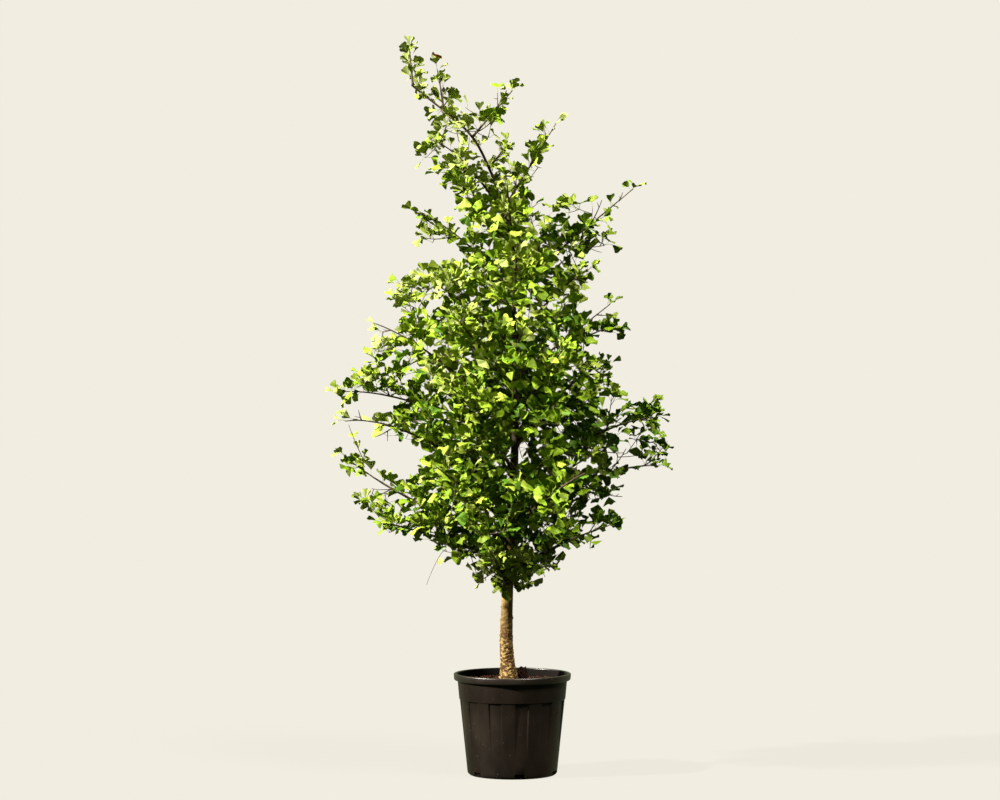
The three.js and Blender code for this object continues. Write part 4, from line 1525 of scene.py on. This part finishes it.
def in_gap(places):
    """Tells which of N places are in one of the openings."""
    inside = np.zeros(len(places), bool)
    for x, height, half_width, half_height in GAPS:
        across, up = (places[:, 0] - x) / half_width, (places[:, 2] - height) / half_height
        inside |= across**2 + up**2 < 1
    return inside


print("gaps:", len(GAPS))

# %% [markdown]
# The filling twigs need targets to grow towards. A loose grid of points is laid through the heart, and
# each point is shaken a little so that no rows show. The points are then shuffled, or the twigs would
# grow layer by layer. Each clump gets a few targets of its own, the first one in its middle.

# %% Targets for the filling twigs
FILL_PITCH = 74 * MM
FILL_SPAN = 540 * MM
IN_HEART = 0.5
CLUMP_PITCH = 15 * MM
CLUMP_SPREAD = (0.4, 0.9)


def grid_in_heart(draw):
    """Points of a loose grid through the heart, in a seeded order."""
    across = np.arange(-FILL_SPAN, FILL_SPAN, FILL_PITCH)
    points = []
    for z in np.arange(HEART[0][0], TRUNK_TIP, FILL_PITCH):
        for x in across:
            for y in across:
                shaken = np.array([x, y, z]) + [FILL_PITCH * (draw() - 0.5) for _ in range(3)]
                if heart_share(shaken) > IN_HEART and not in_gap(shaken[None])[0]:
                    points.append((draw(), shaken))
    return np.array([point for _, point in sorted(points, key=lambda item: item[0])])


def clump_targets(draw):
    """A few points in each clump, the middle one first."""
    points = []
    for x, height, radius in CLUMPS:
        for i in range(round(radius / CLUMP_PITCH)):
            turn = 2 * math.pi * draw()
            out = radius * (i > 0) * ranged(draw, *CLUMP_SPREAD)
            depth = ranged(draw, -CLUMP_DEPTH, CLUMP_DEPTH) / 2
            points.append([x + out * math.cos(turn), depth, height + out * math.sin(turn)])
    return np.array(points)


fill_draw = seeded(SEED)
heart_targets = grid_in_heart(fill_draw)
print("targets in the heart:", len(heart_targets))

# %% [markdown]
# Each target with no wood near it pulls one more twig out of the nearest stem or twig of its own mass.
# The new twig counts as wood at once, so the next target may already be served by it, or grow on from
# it. That way a hollow is closed by a few forked twigs, as it would be by real ones.

# %% Twigs that fill the heart
FILL_PAST = 18 * MM
FILL_SAMPLES = 4
FILL_RADII = (1.6 * MM, 0.9 * MM)
FILL_CLEAR = 62 * MM
FILL_REACH = 170 * MM
CLUMP_CLEAR = 24 * MM
CLUMP_REACH = 260 * MM


def samples_of(carrier):
    shares = np.linspace(0, 1, FILL_SAMPLES + 1)[1:] - 0.5 / FILL_SAMPLES
    return [(carrier, share, np.array(station_on(carrier, share)[0])) for share in shares]


def fill_towards(targets, clear, reach):
    """Twigs that grow towards those targets that have no wood nearer than clear."""
    homes = distances_to_shoots(targets).argmin(1)
    samples = [sample for carrier in carriers for sample in samples_of(carrier)]
    places = np.array([place for _, _, place in samples])
    shoots_of = np.array([carrier["shoot"] for carrier, _, _ in samples])
    added = []
    for target, home in zip(targets, homes):
        away = np.linalg.norm(places - target, axis=1)
        if away.min() < clear:
            continue
        away = np.where(shoots_of == home, away, np.inf)
        nearest = int(away.argmin())
        if away[nearest] > reach:
            continue
        parent, share, _ = samples[nearest]
        root = station_on(parent, share)[0]
        gap = Vector(target) - root
        line = twig_line(root, gap.normalized(), gap.length + FILL_PAST)
        if not over_lower_edge(np.array([line(1)]))[0]:
            continue
        twig = make_carrier(line, 0, 1, TWIG_STEPS, shoot=int(home), order=2, radii=FILL_RADII)
        added.append(twig)
        new_samples = samples_of(twig)
        samples += new_samples
        places = np.concatenate([places, [place for _, _, place in new_samples]])
        shoots_of = np.concatenate([shoots_of, [home] * FILL_SAMPLES])
    return added


carriers += fill_towards(heart_targets, FILL_CLEAR, FILL_REACH)
carriers += fill_towards(clump_targets(fill_draw), CLUMP_CLEAR, CLUMP_REACH)
print("carriers with the filling twigs:", len(carriers))

# %% [markdown]
# The stems are drawn whole, from the middle of the trunk to just short of the last leaf, so bough and
# stem are one smooth limb. A collar thickens each root, where a real branch swells. Each limb is made
# as a small model of its own, because an operator slows down as the mesh that it works in grows.

# %% Limbs as small models
COLLAR = 0.35
COLLAR_SHARE = 0.1
LIMB_SIDES = (10, 6, 5)
LIMB_STEP = (11 * MM, 9 * MM, 9 * MM)
LEAST_STEPS = 3


def limb_relief(point, share, angle):
    return 0.5 * MM * noise.noise(point * 120) + 0.35 * MM * noise.noise(point * 45)


def taper(radii, share):
    collar = 1 + COLLAR * max(1 - share / COLLAR_SHARE, 0)
    return (radii[0] + (radii[1] - radii[0]) * share) * collar


def limb_arrays(carrier):
    bm = bmesh.new()
    order = carrier["order"]
    start = 0 if order == 0 else carrier["start"]
    end = carrier["start"] + carrier["span"]
    steps = max(LEAST_STEPS, round(carrier["length"] / LIMB_STEP[order]))
    stations = stations_along(carrier["line"], start, end, steps)
    relief = limb_relief if order == 0 else None
    add_limb(bm, stations, lambda share: taper(carrier["radii"], share), LIMB_SIDES[order], relief)
    bmesh.ops.recalc_face_normals(bm, faces=bm.faces)
    return arrays_of(bm)


stems = [limb_arrays(carrier) for carrier in carriers if carrier["order"] == 0]
twigs = [limb_arrays(carrier) for carrier in carriers if carrier["order"] > 0]
print("stems and twigs modelled:", len(stems), "and", len(twigs))

# %% [markdown]
# One dry twig hangs under the crown on the left with a single leaf. It grows from the wood nearest to
# its first point. The stems and the twigs are then joined into one piece each. The stems stand for the
# boughs and for the foliage masses, which are a stem with its twigs and leaves, so both pieces name
# the masses.

# %% Boughs, stems and twigs
DRY_TWIG = [
    Vector((-0.222, -0.10, 0.79)),
    Vector((-0.262, -0.11, 0.735)),
    Vector((-0.289, -0.11, 0.652)),
]
DRY_STEPS = 8
DRY_RADII = (1.3 * MM, 0.7 * MM)
bough_nodes = [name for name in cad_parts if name.startswith("bough_")]
foliage_nodes = [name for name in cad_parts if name.startswith("foliage_")]

wood = [place for carrier in carriers for _, _, place in samples_of(carrier)]
dry_root = min(wood, key=lambda place: (Vector(place) - DRY_TWIG[0]).length)
dry_line = bezier([Vector(dry_root), *DRY_TWIG])
dry_twig = make_carrier(dry_line, 0, 1, DRY_STEPS, shoot=0, order=2, radii=DRY_RADII)
twigs.append(limb_arrays(dry_twig))
for piece_name, limbs, nodes in (
    ("boughs_and_stems", stems, bough_nodes + foliage_nodes),
    ("twigs", twigs, foliage_nodes),
):
    in_place = np.tile(np.eye(3, 4), (len(limbs), 1, 1))
    limb_mesh = join_copies(limbs, np.arange(len(limbs)), in_place)
    add_piece(piece_name, limb_mesh, young_bark, nodes)

# %% [markdown]
# A ginkgo leaf is a fan on a thin stalk. The flat fan is a true spin: a row of points from its base to
# its rim, turned about the base. Each point is then moved to where it is on the real blade, which has
# a notch in the middle of its rim, rounded shoulders and small waves, and is folded along its middle,
# pleated, and hanging a little at its rim. Angles count from the middle line of the fan.

# %% The shape of a blade
STALK = 0.36
FAN = 1 - STALK
CLEFT_WIDTH = math.radians(8)
SHOULDER_DROP = 0.09
WAVES = 9
WAVE_LIFT = 0.6
PLEATS = 6.3
PLEAT_HEIGHT = 0.05
PLEAT_SHIFT = 40
DROOP = 0.10


def shape_blade(vert, spread, notch, fold, wave):
    """Moves one point of the flat fan to where it is on the shaped blade."""
    angle = math.atan2(vert.co.x, vert.co.y)
    out = math.hypot(vert.co.x, vert.co.y)
    share = out / FAN
    cleft = notch * math.exp(-((angle / CLEFT_WIDTH) ** 2)) * share**2
    shoulder = SHOULDER_DROP * (abs(angle) / spread) ** 3 * share
    ripple = wave * math.cos(angle / spread * WAVES) * share**2
    radius = out * (1 - cleft - shoulder + ripple)
    vert.co.x = radius * math.sin(angle)
    vert.co.y = radius * math.cos(angle)
    pleats = PLEAT_HEIGHT * math.cos(angle / spread * PLEATS + PLEAT_SHIFT * wave) * share
    vert.co.z = fold * abs(vert.co.x) - DROOP * share**2 + WAVE_LIFT * ripple + pleats

# %% [markdown]
# The stalk is a three-sided tube, rolled from a grid as the limbs are, with a slight bow. It carries
# the fan well clear of the twig, and from a distance it is what makes ginkgo leaves look loose.

# %% The stalk
STALK_RADIUS = 0.011
STALK_BOW = 0.03
STALK_SHARES = (0, 0.5, 1)
LEAF_WELD = 1e-5


def add_stalk(bm):
    side = -BACK.cross(UP)
    centres = [Vector((0, STALK * share, 0)) for share in STALK_SHARES]
    centres[1].z += STALK_BOW
    made = bmesh.ops.create_grid(bm, x_segments=3, y_segments=2, size=1)["verts"]
    for vert in made:
        centre = centres[round(vert.co.y + 1)]
        angle = math.pi * (vert.co.x + 1)
        vert.co = centre + (UP * math.cos(angle) + side * math.sin(angle)) * STALK_RADIUS
    bmesh.ops.remove_doubles(bm, verts=made, dist=LEAF_WELD)

# %% [markdown]
# Six leaves of different spread, notch, fold and bend are enough for thousands, because each copy gets
# a turn and a size of its own. Blade and stalk together are one unit long and start at the origin. The
# fan's UV map is laid out by angle and distance from the base, so that veins can fan out on it.

# %% Six model leaves
FAN_STEPS = 10
FAN_RINGS = 3
FAN_WELD = 1e-4
LEAF_KINDS = [  # half spread in degrees, notch, fold, bend at the stalk in degrees, wave
    (44, 0.16, 0.38, 10, 0.05),
    (50, 0.10, 0.25, 24, 0.06),
    (36, 0.28, 0.45, 5, 0.04),
    (55, 0.12, 0.20, 34, 0.06),
    (46, 0.14, -0.25, 18, 0.05),
    (32, 0.06, 0.50, -8, 0.05),
]


def flat_fan(bm, spread):
    rings = [FAN * ring / FAN_RINGS for ring in range(FAN_RINGS + 1)]
    row = [bm.verts.new((0, ring, 0)) for ring in rings]
    edges = [bm.edges.new(pair) for pair in zip(row, row[1:])]
    first = Matrix.Rotation(-spread, 3, "Z")
    bmesh.ops.rotate(bm, cent=(0, 0, 0), matrix=first, verts=row)
    bmesh.ops.spin(
        bm, geom=row + edges, cent=(0, 0, 0), axis=UP, angle=2 * spread, steps=FAN_STEPS
    )
    bmesh.ops.remove_doubles(bm, verts=bm.verts, dist=FAN_WELD)


def leaf_model(half_spread, notch, fold, bend, wave):
    bm = bmesh.new()
    layer = bm.loops.layers.uv.new("UVMap")
    spread = math.radians(half_spread)
    flat_fan(bm, spread)
    for loop in (loop for face in bm.faces for loop in face.loops):
        x, y, _ = loop.vert.co
        loop[layer].uv = (0.5 + math.atan2(x, y) / (2 * spread), math.hypot(x, y) / FAN)
    for vert in bm.verts:
        shape_blade(vert, spread, notch, fold, wave)
    turn = Matrix.Rotation(-math.radians(bend), 3, "X")
    bmesh.ops.rotate(bm, cent=(0, 0, 0), matrix=turn, verts=bm.verts)
    bmesh.ops.translate(bm, vec=(0, STALK, 0), verts=bm.verts)
    add_stalk(bm)
    bmesh.ops.recalc_face_normals(bm, faces=bm.faces)
    return arrays_of(bm)


leaf_models = [leaf_model(*kind) for kind in LEAF_KINDS]
print("triangles in the model leaves:", [len(faces) for _, faces, _ in leaf_models])

# %% [markdown]
# Ginkgo leaves stand in rosettes on short spurs. The leaves of a rosette lean out to all sides, and all
# of them reach up towards the light. So a leaf is dealt out as a root, a direction, a roll about that
# direction, a size and a kind, together with the mass and the spray that it belongs to.

# %% One leaf and one rosette
LEAF_LENGTHS = (45 * MM, 61 * MM)
LEAF_LEAN = (38, 88)
LEAF_LIFT = 0.85
LEAF_ROLL = (-75, 75)
LEAF_SIZES = (0.82, 1.12)
ROSETTE_SHAKE = (-25, 25)
UPRIGHT = 1e-3
leaf_draw = seeded(7)
leaves = []


def add_leaf(root, along, shoot, spray, size, roll=LEAF_ROLL):
    level = along.cross(UP)
    level = level.normalized() if level.length > UPRIGHT else Vector((1, 0, 0))
    turn = ranged(leaf_draw, *roll)
    across = Matrix.Rotation(math.radians(turn), 3, along) @ level
    kind = int(leaf_draw() * len(LEAF_KINDS))
    leaves.append((root, along, across, size, kind, shoot, spray))


def add_rosette(station, shoot, spray, count, size, lean=LEAF_LEAN):
    first_turn = 360 * leaf_draw()
    for k in range(count):
        turn = first_turn + 360 * k / count + ranged(leaf_draw, *ROSETTE_SHAKE)
        along = leaning_from(station, turn, ranged(leaf_draw, *lean)) + UP * LEAF_LIFT
        this_size = size * ranged(leaf_draw, *LEAF_SIZES)
        add_leaf(station[0], along.normalized(), shoot, spray, this_size)


print("leaves are", [round(length / MM) for length in LEAF_LENGTHS], "mm long")

# %% [markdown]
# In the heart of the crown the spurs crowd and carry up to four leaves each. Out along the shoots they
# stand further apart and carry one to three smaller leaves, so the ends are single sprays against the
# sky. The share of the heart that was given for the twigs decides it here too. Every twig ends in a
# leaf that goes on in its own direction, with one more beside it.

# %% Deal the leaves out along the wood
NODE_SPACING = (42 * MM, 30 * MM)
SPACING_SHAKE = (0.7, 1.3)
ROSETTE = (2.1, 3.1)
LEAF_GROWTH = 220 * MM
TIP_ROLL = (-40, 40)
TIP_LEAN = (20, 60)
BESIDE_TIP = 0.85


def from_pair(pair, share):
    return pair[0] + (pair[1] - pair[0]) * share


def leaf_size(place, shoot):
    from_tip = (place - shoots[shoot]["line"](1)).length
    return from_pair(LEAF_LENGTHS, min(from_tip / LEAF_GROWTH, 1))


def deal_along(carrier, spray):
    shoot = carrier["shoot"]
    travelled = NODE_SPACING[1] * leaf_draw()
    while travelled < carrier["length"]:
        station = station_on(carrier, travelled / carrier["length"])
        heart = heart_share(station[0])
        leaf_count = round(from_pair(ROSETTE, heart) + ranged(leaf_draw, -1, 1))
        add_rosette(station, shoot, spray, leaf_count, leaf_size(station[0], shoot))
        travelled += from_pair(NODE_SPACING, heart) * ranged(leaf_draw, *SPACING_SHAKE)


for spray, carrier in enumerate(carriers):
    deal_along(carrier, spray)
    tip = station_on(carrier, 1)
    tip_size = LAST_LEAF if carrier["order"] == 0 else leaf_size(tip[0], carrier["shoot"])
    add_leaf(tip[0], tip[1], carrier["shoot"], spray, tip_size, roll=TIP_ROLL)
    add_rosette(tip, carrier["shoot"], spray, 1, tip_size * BESIDE_TIP, lean=TIP_LEAN)
print("leaves dealt on stems and twigs:", len(leaves))

# %% [markdown]
# Two leaves have places of their own: a rusty one near the top, and the single one on the dry twig.
# They get sprays of their own too, past the last carrier's number, so that the sorting further on can
# spare them. The bare boughs carry a few spurs as well, from just outside the trunk to where the
# foliage masses begin.

# %% Single leaves and bare boughs
LOOSE = len(carriers) + 1
RUSTY = LOOSE + 1
RUSTY_SHOOT = "leader_side"
RUSTY_SHARE = 0.86
RUSTY_WAY = Vector((0.3, -0.4, 0.85)).normalized()
DRY_LEAF_SHARE = 0.42
DRY_LEAF_WAY = Vector((-0.35, -0.5, -0.8)).normalized()
DRY_LEAF_SIZE = LEAF_LENGTHS[0] * 0.9
BOUGH_BARE = 0.04

rusty_line = next(shoot["line"] for shoot in shoots if shoot["name"] == RUSTY_SHOOT)
add_leaf(rusty_line(RUSTY_SHARE), RUSTY_WAY, 0, RUSTY, LEAF_LENGTHS[0])
dry_leaf = station_on(dry_twig, DRY_LEAF_SHARE)
add_leaf(dry_leaf[0], DRY_LEAF_WAY, 0, LOOSE, DRY_LEAF_SIZE)
for shoot in shoots[:BOUGH_COUNT]:
    span = (BOUGH_BARE, BOUGH_SHARE)
    bare_part = make_carrier(shoot["line"], *span, TWIG_STEPS, shoot=shoot["index"])
    deal_along(bare_part, shoot["index"])
print("leaves with those on the boughs:", len(leaves))

# %% [markdown]
# The thin leader and the lowest bit of leafy trunk carry spurs too, straight on the wood. Each belongs
# to the mass whose shoot passes nearest, and the nearest shoot is looked up when the leaves are sorted.

# %% Spurs on the trunk
SPUR_RANGES = (  # lowest, highest, step, and how far the leaves lean from upright in degrees
    (628 * MM, 640 * MM, 2.5 * MM, (100, 160)),
    (640 * MM, 700 * MM, 5 * MM, (70, 140)),
    (700 * MM, 960 * MM, 14 * MM, (50, 100)),
    (1310 * MM, 1480 * MM, 14 * MM, (45, 90)),
    (1610 * MM, 1900 * MM, 22 * MM, (45, 85)),
    (1900 * MM, 2330 * MM, 13 * MM, (40, 95)),
)
ON_TRUNK = -1
LEADER_SPAN = (1700 * MM, 2300 * MM)
for spur_low, spur_high, spur_step, spur_lean in SPUR_RANGES:
    height = spur_low
    while height < spur_high:
        station = (trunk_at(height), UP, BACK, BACK.cross(UP))
        size = from_pair(LEAF_LENGTHS, 1 - smooth_step(*LEADER_SPAN, height))
        leaf_count = 2 + int(2 * leaf_draw())
        add_rosette(station, ON_TRUNK, len(carriers), leaf_count, size, lean=spur_lean)
        height += spur_step * ranged(leaf_draw, *SPACING_SHAKE)
print("leaves dealt in all:", len(leaves))

# %% [markdown]
# Now the leaves become arrays, and some are dropped: those that stray into a neighbour's space, hang
# under the crown's lower edge or in a gap, or would leave the solids' box, and those in front of two
# stretches of the trunk that the foliage leaves bare. Dealing too many and dropping some is simpler
# than a rule that never deals a wrong one.

# %% Which leaves stay
STRAY = -30 * MM
PARTINGS = ((1040 * MM, 1300 * MM), (1490 * MM, 1600 * MM))
PARTING_WIDTH = 11 * MM
BLADE_MIDDLE = 0.75

roots, alongs, acrosses, sizes, kinds, owners, sprays = map(np.array, zip(*leaves))
tips = roots + alongs * sizes[:, None]
blades = roots + alongs * sizes[:, None] * BLADE_MIDDLE
owners = np.where(owners == ON_TRUNK, distances_to_shoots(roots).argmin(1), owners)
box_low, box_high = (np.array(corner) for corner in solids_box)

keeps = depth_in_space(tips, owners) > STRAY
keeps |= sprays >= len(carriers)
keeps &= ((tips > box_low) & (tips < box_high)).all(1)
keeps &= over_lower_edge(tips) | (sprays >= LOOSE)
keeps &= ~in_gap((roots + tips) / 2)
for low, high in PARTINGS:
    trunk_x = np.array([trunk_at(min(max(z, low), high)).x for z in blades[:, 2]])
    in_front = (np.abs(blades[:, 0] - trunk_x) < PARTING_WIDTH) & (blades[:, 1] < 0)
    keeps &= ~(in_front & (blades[:, 2] > low) & (blades[:, 2] < high))
print("leaves kept:", int(keeps.sum()), "of", len(leaves))

# %% [markdown]
# Each leaf's place is a 3 x 4 matrix: three columns for the directions of the model's axes, as long as
# the leaf is large, and one for its root. The upper side of the blade is turned to the sky, as leaves
# turn themselves.

# %% Where each leaf goes
throughs = np.cross(acrosses, alongs)
throughs *= np.where(throughs[:, 2:] < 0, -1, 1)
acrosses = np.cross(alongs, throughs)
columns = np.stack([acrosses, alongs, throughs], axis=2) * sizes[:, None, None]
matrices = np.concatenate([columns, roots[:, :, None]], axis=2)
print("matrices:", matrices.shape)

# %% [markdown]
# Real foliage isn't one green: young sprays at the tips are lime and some sprays are dull. The tints
# also carry painted light and shade: leaves on the side of the crown that faces the key lamp get paler
# tints, painted light, those on the far side deeper greens, painted shade, and the low leaves under the
# crown paler tints again, painted light. A texture could vary the colour, but plain tints that are
# dealt out spray by spray look more like growth. A leaf's tone is a sum of its painted light, of how
# young it is, of the painted light on low leaves, and of two draws, one for its spray and one for
# itself. The tone then picks the tint.

# %% Sort the leaves by tint
SUN = Vector((-0.785, -0.30, 0.55)).normalized()
CROWN_MIDDLE = Vector((0, 0, 1.35))
CROWN_REACH = 0.55
LEAST_PAINTED_LIGHT = -0.50
LOW_LEAVES = 0.78
TONE_MIDDLE = 0.44
TONE_OF_PAINTED_LIGHT = 0.26
TONE_OF_YOUTH = 0.12
TONE_OF_SPRAY = 0.42
TONE_OF_LEAF = 0.42
TONE_OF_PAINTED_LOW_LIGHT = 0.28
TINTS = ["lime", "spring", "grass", "deep", "olive", "rust"]
TINT_TONES = (0.80, 0.58, 0.32, 0.10)

tint_draw = seeded(23)
spray_shift = np.array([tint_draw() for _ in range(RUSTY + 1)])
leaf_shift = np.array([tint_draw() for _ in leaves])
# Painted light and shade: leaves towards the key lamp get paler tints, those away from it deeper greens.
painted_light_side = np.maximum(((tips - np.array(CROWN_MIDDLE)) / CROWN_REACH) @ np.array(SUN), LEAST_PAINTED_LIGHT)
young = 1 - np.clip((sizes - LEAF_LENGTHS[0]) / (LEAF_LENGTHS[1] - LEAF_LENGTHS[0]), 0, 1)
tone = TONE_MIDDLE + TONE_OF_PAINTED_LIGHT * painted_light_side + TONE_OF_YOUTH * young
tone += TONE_OF_SPRAY * (spray_shift[sprays] - 0.5)
tone += TONE_OF_LEAF * (leaf_shift - 0.5)
# Painted light: the leaves low under the crown get paler tints, as if lit.
tone += TONE_OF_PAINTED_LOW_LIGHT * (blades[:, 2] < LOW_LEAVES)
tint_of = np.digitize(-tone, -np.array(TINT_TONES))
tint_of[sprays == RUSTY] = TINTS.index("rust")
print("leaves of each tint:", np.bincount(tint_of[keeps], minlength=len(TINTS)))

# %% [markdown]
# A leaf has a thin waxy skin over a bright green body, with veins that fan out from the stalk. The
# veins are bands across the leaf's own UV map: they lift the skin slightly and pale the colour a
# little. Softer patches make no two leaves quite alike. The rest is the tint, and the sheen, which
# the light sets off on each blade.

# %% Leaf materials and pieces
TINT_COLOURS = {
    "lime": (0.268, 0.318, 0.084),
    "spring": (0.268, 0.346, 0.036),
    "grass": (0.176, 0.278, 0.012),
    "deep": (0.066, 0.144, 0.008),
    "olive": (0.116, 0.170, 0.012),
    "rust": (0.339, 0.074, 0.018),
}
VEIN_COUNT = 11
VEIN_STRETCH = 0.6
VEIN_WANDER = 1.4
VEIN_SPAN = (0.1, 0.9)
VEIN_TONES = (0.66, 1.3)
PATCH_SPAN = (0.3, 0.7)
PATCH_TONES = ((0.80, 0.84, 0.80), (1, 1, 1))
LEAF_GLOSS = (0.40, 0.60)


def fanned_veins(material):
    place = add_node(material, "ShaderNodeTexCoord")
    mapping = {"Vector": place.outputs["UV"], "Scale": (VEIN_COUNT, VEIN_STRETCH, 1)}
    stretched_map = add_node(material, "ShaderNodeMapping", mapping)
    bands = {
        "Vector": stretched_map.outputs["Vector"],
        "Scale": 1,
        "Distortion": VEIN_WANDER,
        "Detail": 1,
    }
    return add_node(material, "ShaderNodeTexWave", bands, bands_direction="X").outputs["Fac"]


def make_leaf_green(name, colour):
    material = start_material("leaf_" + name, specular=0.11)
    veins = fanned_veins(material)
    dark, pale = (tuple(channel * tone for channel in colour) for tone in VEIN_TONES)
    veined = between_tones(material, veins, *VEIN_SPAN, dark, pale)
    patches = object_noise(material, scale=38, detail=2)
    shade = between_tones(material, patches, *PATCH_SPAN, *PATCH_TONES)
    tinted = mix_colours(material, 1, veined, shade, blend="MULTIPLY")
    gloss = between_limits(material, patches, *LEAF_GLOSS)
    link_up(material, tinted, gloss, veins, depth=0.3 * MM, strength=0.3)
    return material


for number, tint in enumerate(TINTS):
    chosen = keeps & (tint_of == number)
    leaf_mesh = join_copies(leaf_models, kinds[chosen], matrices[chosen])
    green = make_leaf_green(tint, TINT_COLOURS[tint])
    add_piece("leaves_" + tint, leaf_mesh, green, foliage_nodes, sharp=75)

# %% [markdown]
# The stage is a wide pale floor under an even cream sky. The floor is dark paint that glows a little,
# so that the lamps shade it only softly and it meets the sky without a line. It is left out of what
# the tree reflects and is lit by, or it would throw cream light up under the leaves.

# %% The floor
CREAM = (0.880, 0.847, 0.753, 1)
FLOOR_COLOUR = (0.015, 0.015, 0.015, 1)
FLOOR_REACH = 60
FLOOR_GLOW = 0.917
FLOOR_ROUGHNESS = 0.9


def make_floor():
    bm = bmesh.new()
    bmesh.ops.create_grid(bm, x_segments=1, y_segments=1, size=FLOOR_REACH)
    floor = bpy.data.objects.new("floor", mesh_from(bm))
    material = start_material("pale_floor", specular=0.0)
    shader = shader_of(material)
    feed(material, shader.inputs["Roughness"], FLOOR_ROUGHNESS)
    feed(material, shader.inputs["Base Color"], FLOOR_COLOUR)
    feed(material, shader.inputs["Emission Color"], CREAM)
    feed(material, shader.inputs["Emission Strength"], FLOOR_GLOW)
    floor.data.materials.append(material)
    floor.visible_diffuse = False
    floor.visible_glossy = False
    bpy.context.collection.objects.link(floor)


make_floor()
print("floor of", 2 * FLOOR_REACH, "m across")

# %% [markdown]
# The sky that the camera sees is brighter than the light it sheds, which keeps the shadows inside the
# crown deep. What it sheds comes mostly from behind the tree, where the lit backdrop is, so edges get
# a thin bright rim. A world is a node tree like a material's, and the same helpers build it.

# %% The sky
SKY_LIGHT = (0.86, 1.0, 0.58, 1)
SKY_STRENGTHS = (0.10, 0.38)


def make_sky():
    world = bpy.data.worlds.new("cream_sky")
    bpy.context.scene.world = world
    world.use_nodes = True
    seen = world.node_tree.nodes["Background"]
    feed(world, seen.inputs["Color"], CREAM)
    place = add_node(world, "ShaderNodeTexCoord").outputs["Generated"]
    towards_back = add_node(world, "ShaderNodeSeparateXYZ", {"Vector": place}).outputs["Y"]
    strength = between_limits(world, towards_back, *SKY_STRENGTHS)
    shed = add_node(world, "ShaderNodeBackground", {"Color": SKY_LIGHT, "Strength": strength})
    path = add_node(world, "ShaderNodeLightPath")
    mix = add_node(world, "ShaderNodeMixShader", {0: path.outputs["Is Camera Ray"]})
    feed(world, mix.inputs[1], shed.outputs["Background"])
    feed(world, mix.inputs[2], seen.outputs["Background"])
    feed(world, world.node_tree.nodes["World Output"].inputs["Surface"], mix.outputs["Shader"])
    return world


print("sky:", make_sky().name)

# %% [markdown]
# A lamp high on the left, in front, is the key light. It is hard, like low sun, and it points the same
# way as the direction that sorted the leaves, so the lime ones stand in its light. A weaker and softer
# lamp overhead opens up the top of the crown. Both are a little warm.

# %% The lamps
KEY_STRENGTH = 16.5
KEY_SPREAD = math.radians(3)
TOP_LIGHT = Vector((0.36, -0.40, 0.84))
TOP_STRENGTH = 7.1
TOP_SPREAD = math.radians(20)
LAMP_COLOUR = (1.0, 0.95, 0.86)


def make_lamp(name, towards, strength, spread):
    lamp = bpy.data.lights.new(name, "SUN")
    lamp.energy = strength
    lamp.angle = spread
    lamp.color = LAMP_COLOUR
    holder = bpy.data.objects.new(name, lamp)
    holder.rotation_mode = "QUATERNION"
    holder.rotation_quaternion = towards.to_track_quat("Z", "Y")
    bpy.context.collection.objects.link(holder)
    print(f"lamp {name}: strength {strength}")


make_lamp("key", SUN, KEY_STRENGTH, KEY_SPREAD)
make_lamp("top", TOP_LIGHT, TOP_STRENGTH, TOP_SPREAD)
bpy.context.scene.view_settings.view_transform = "Standard"
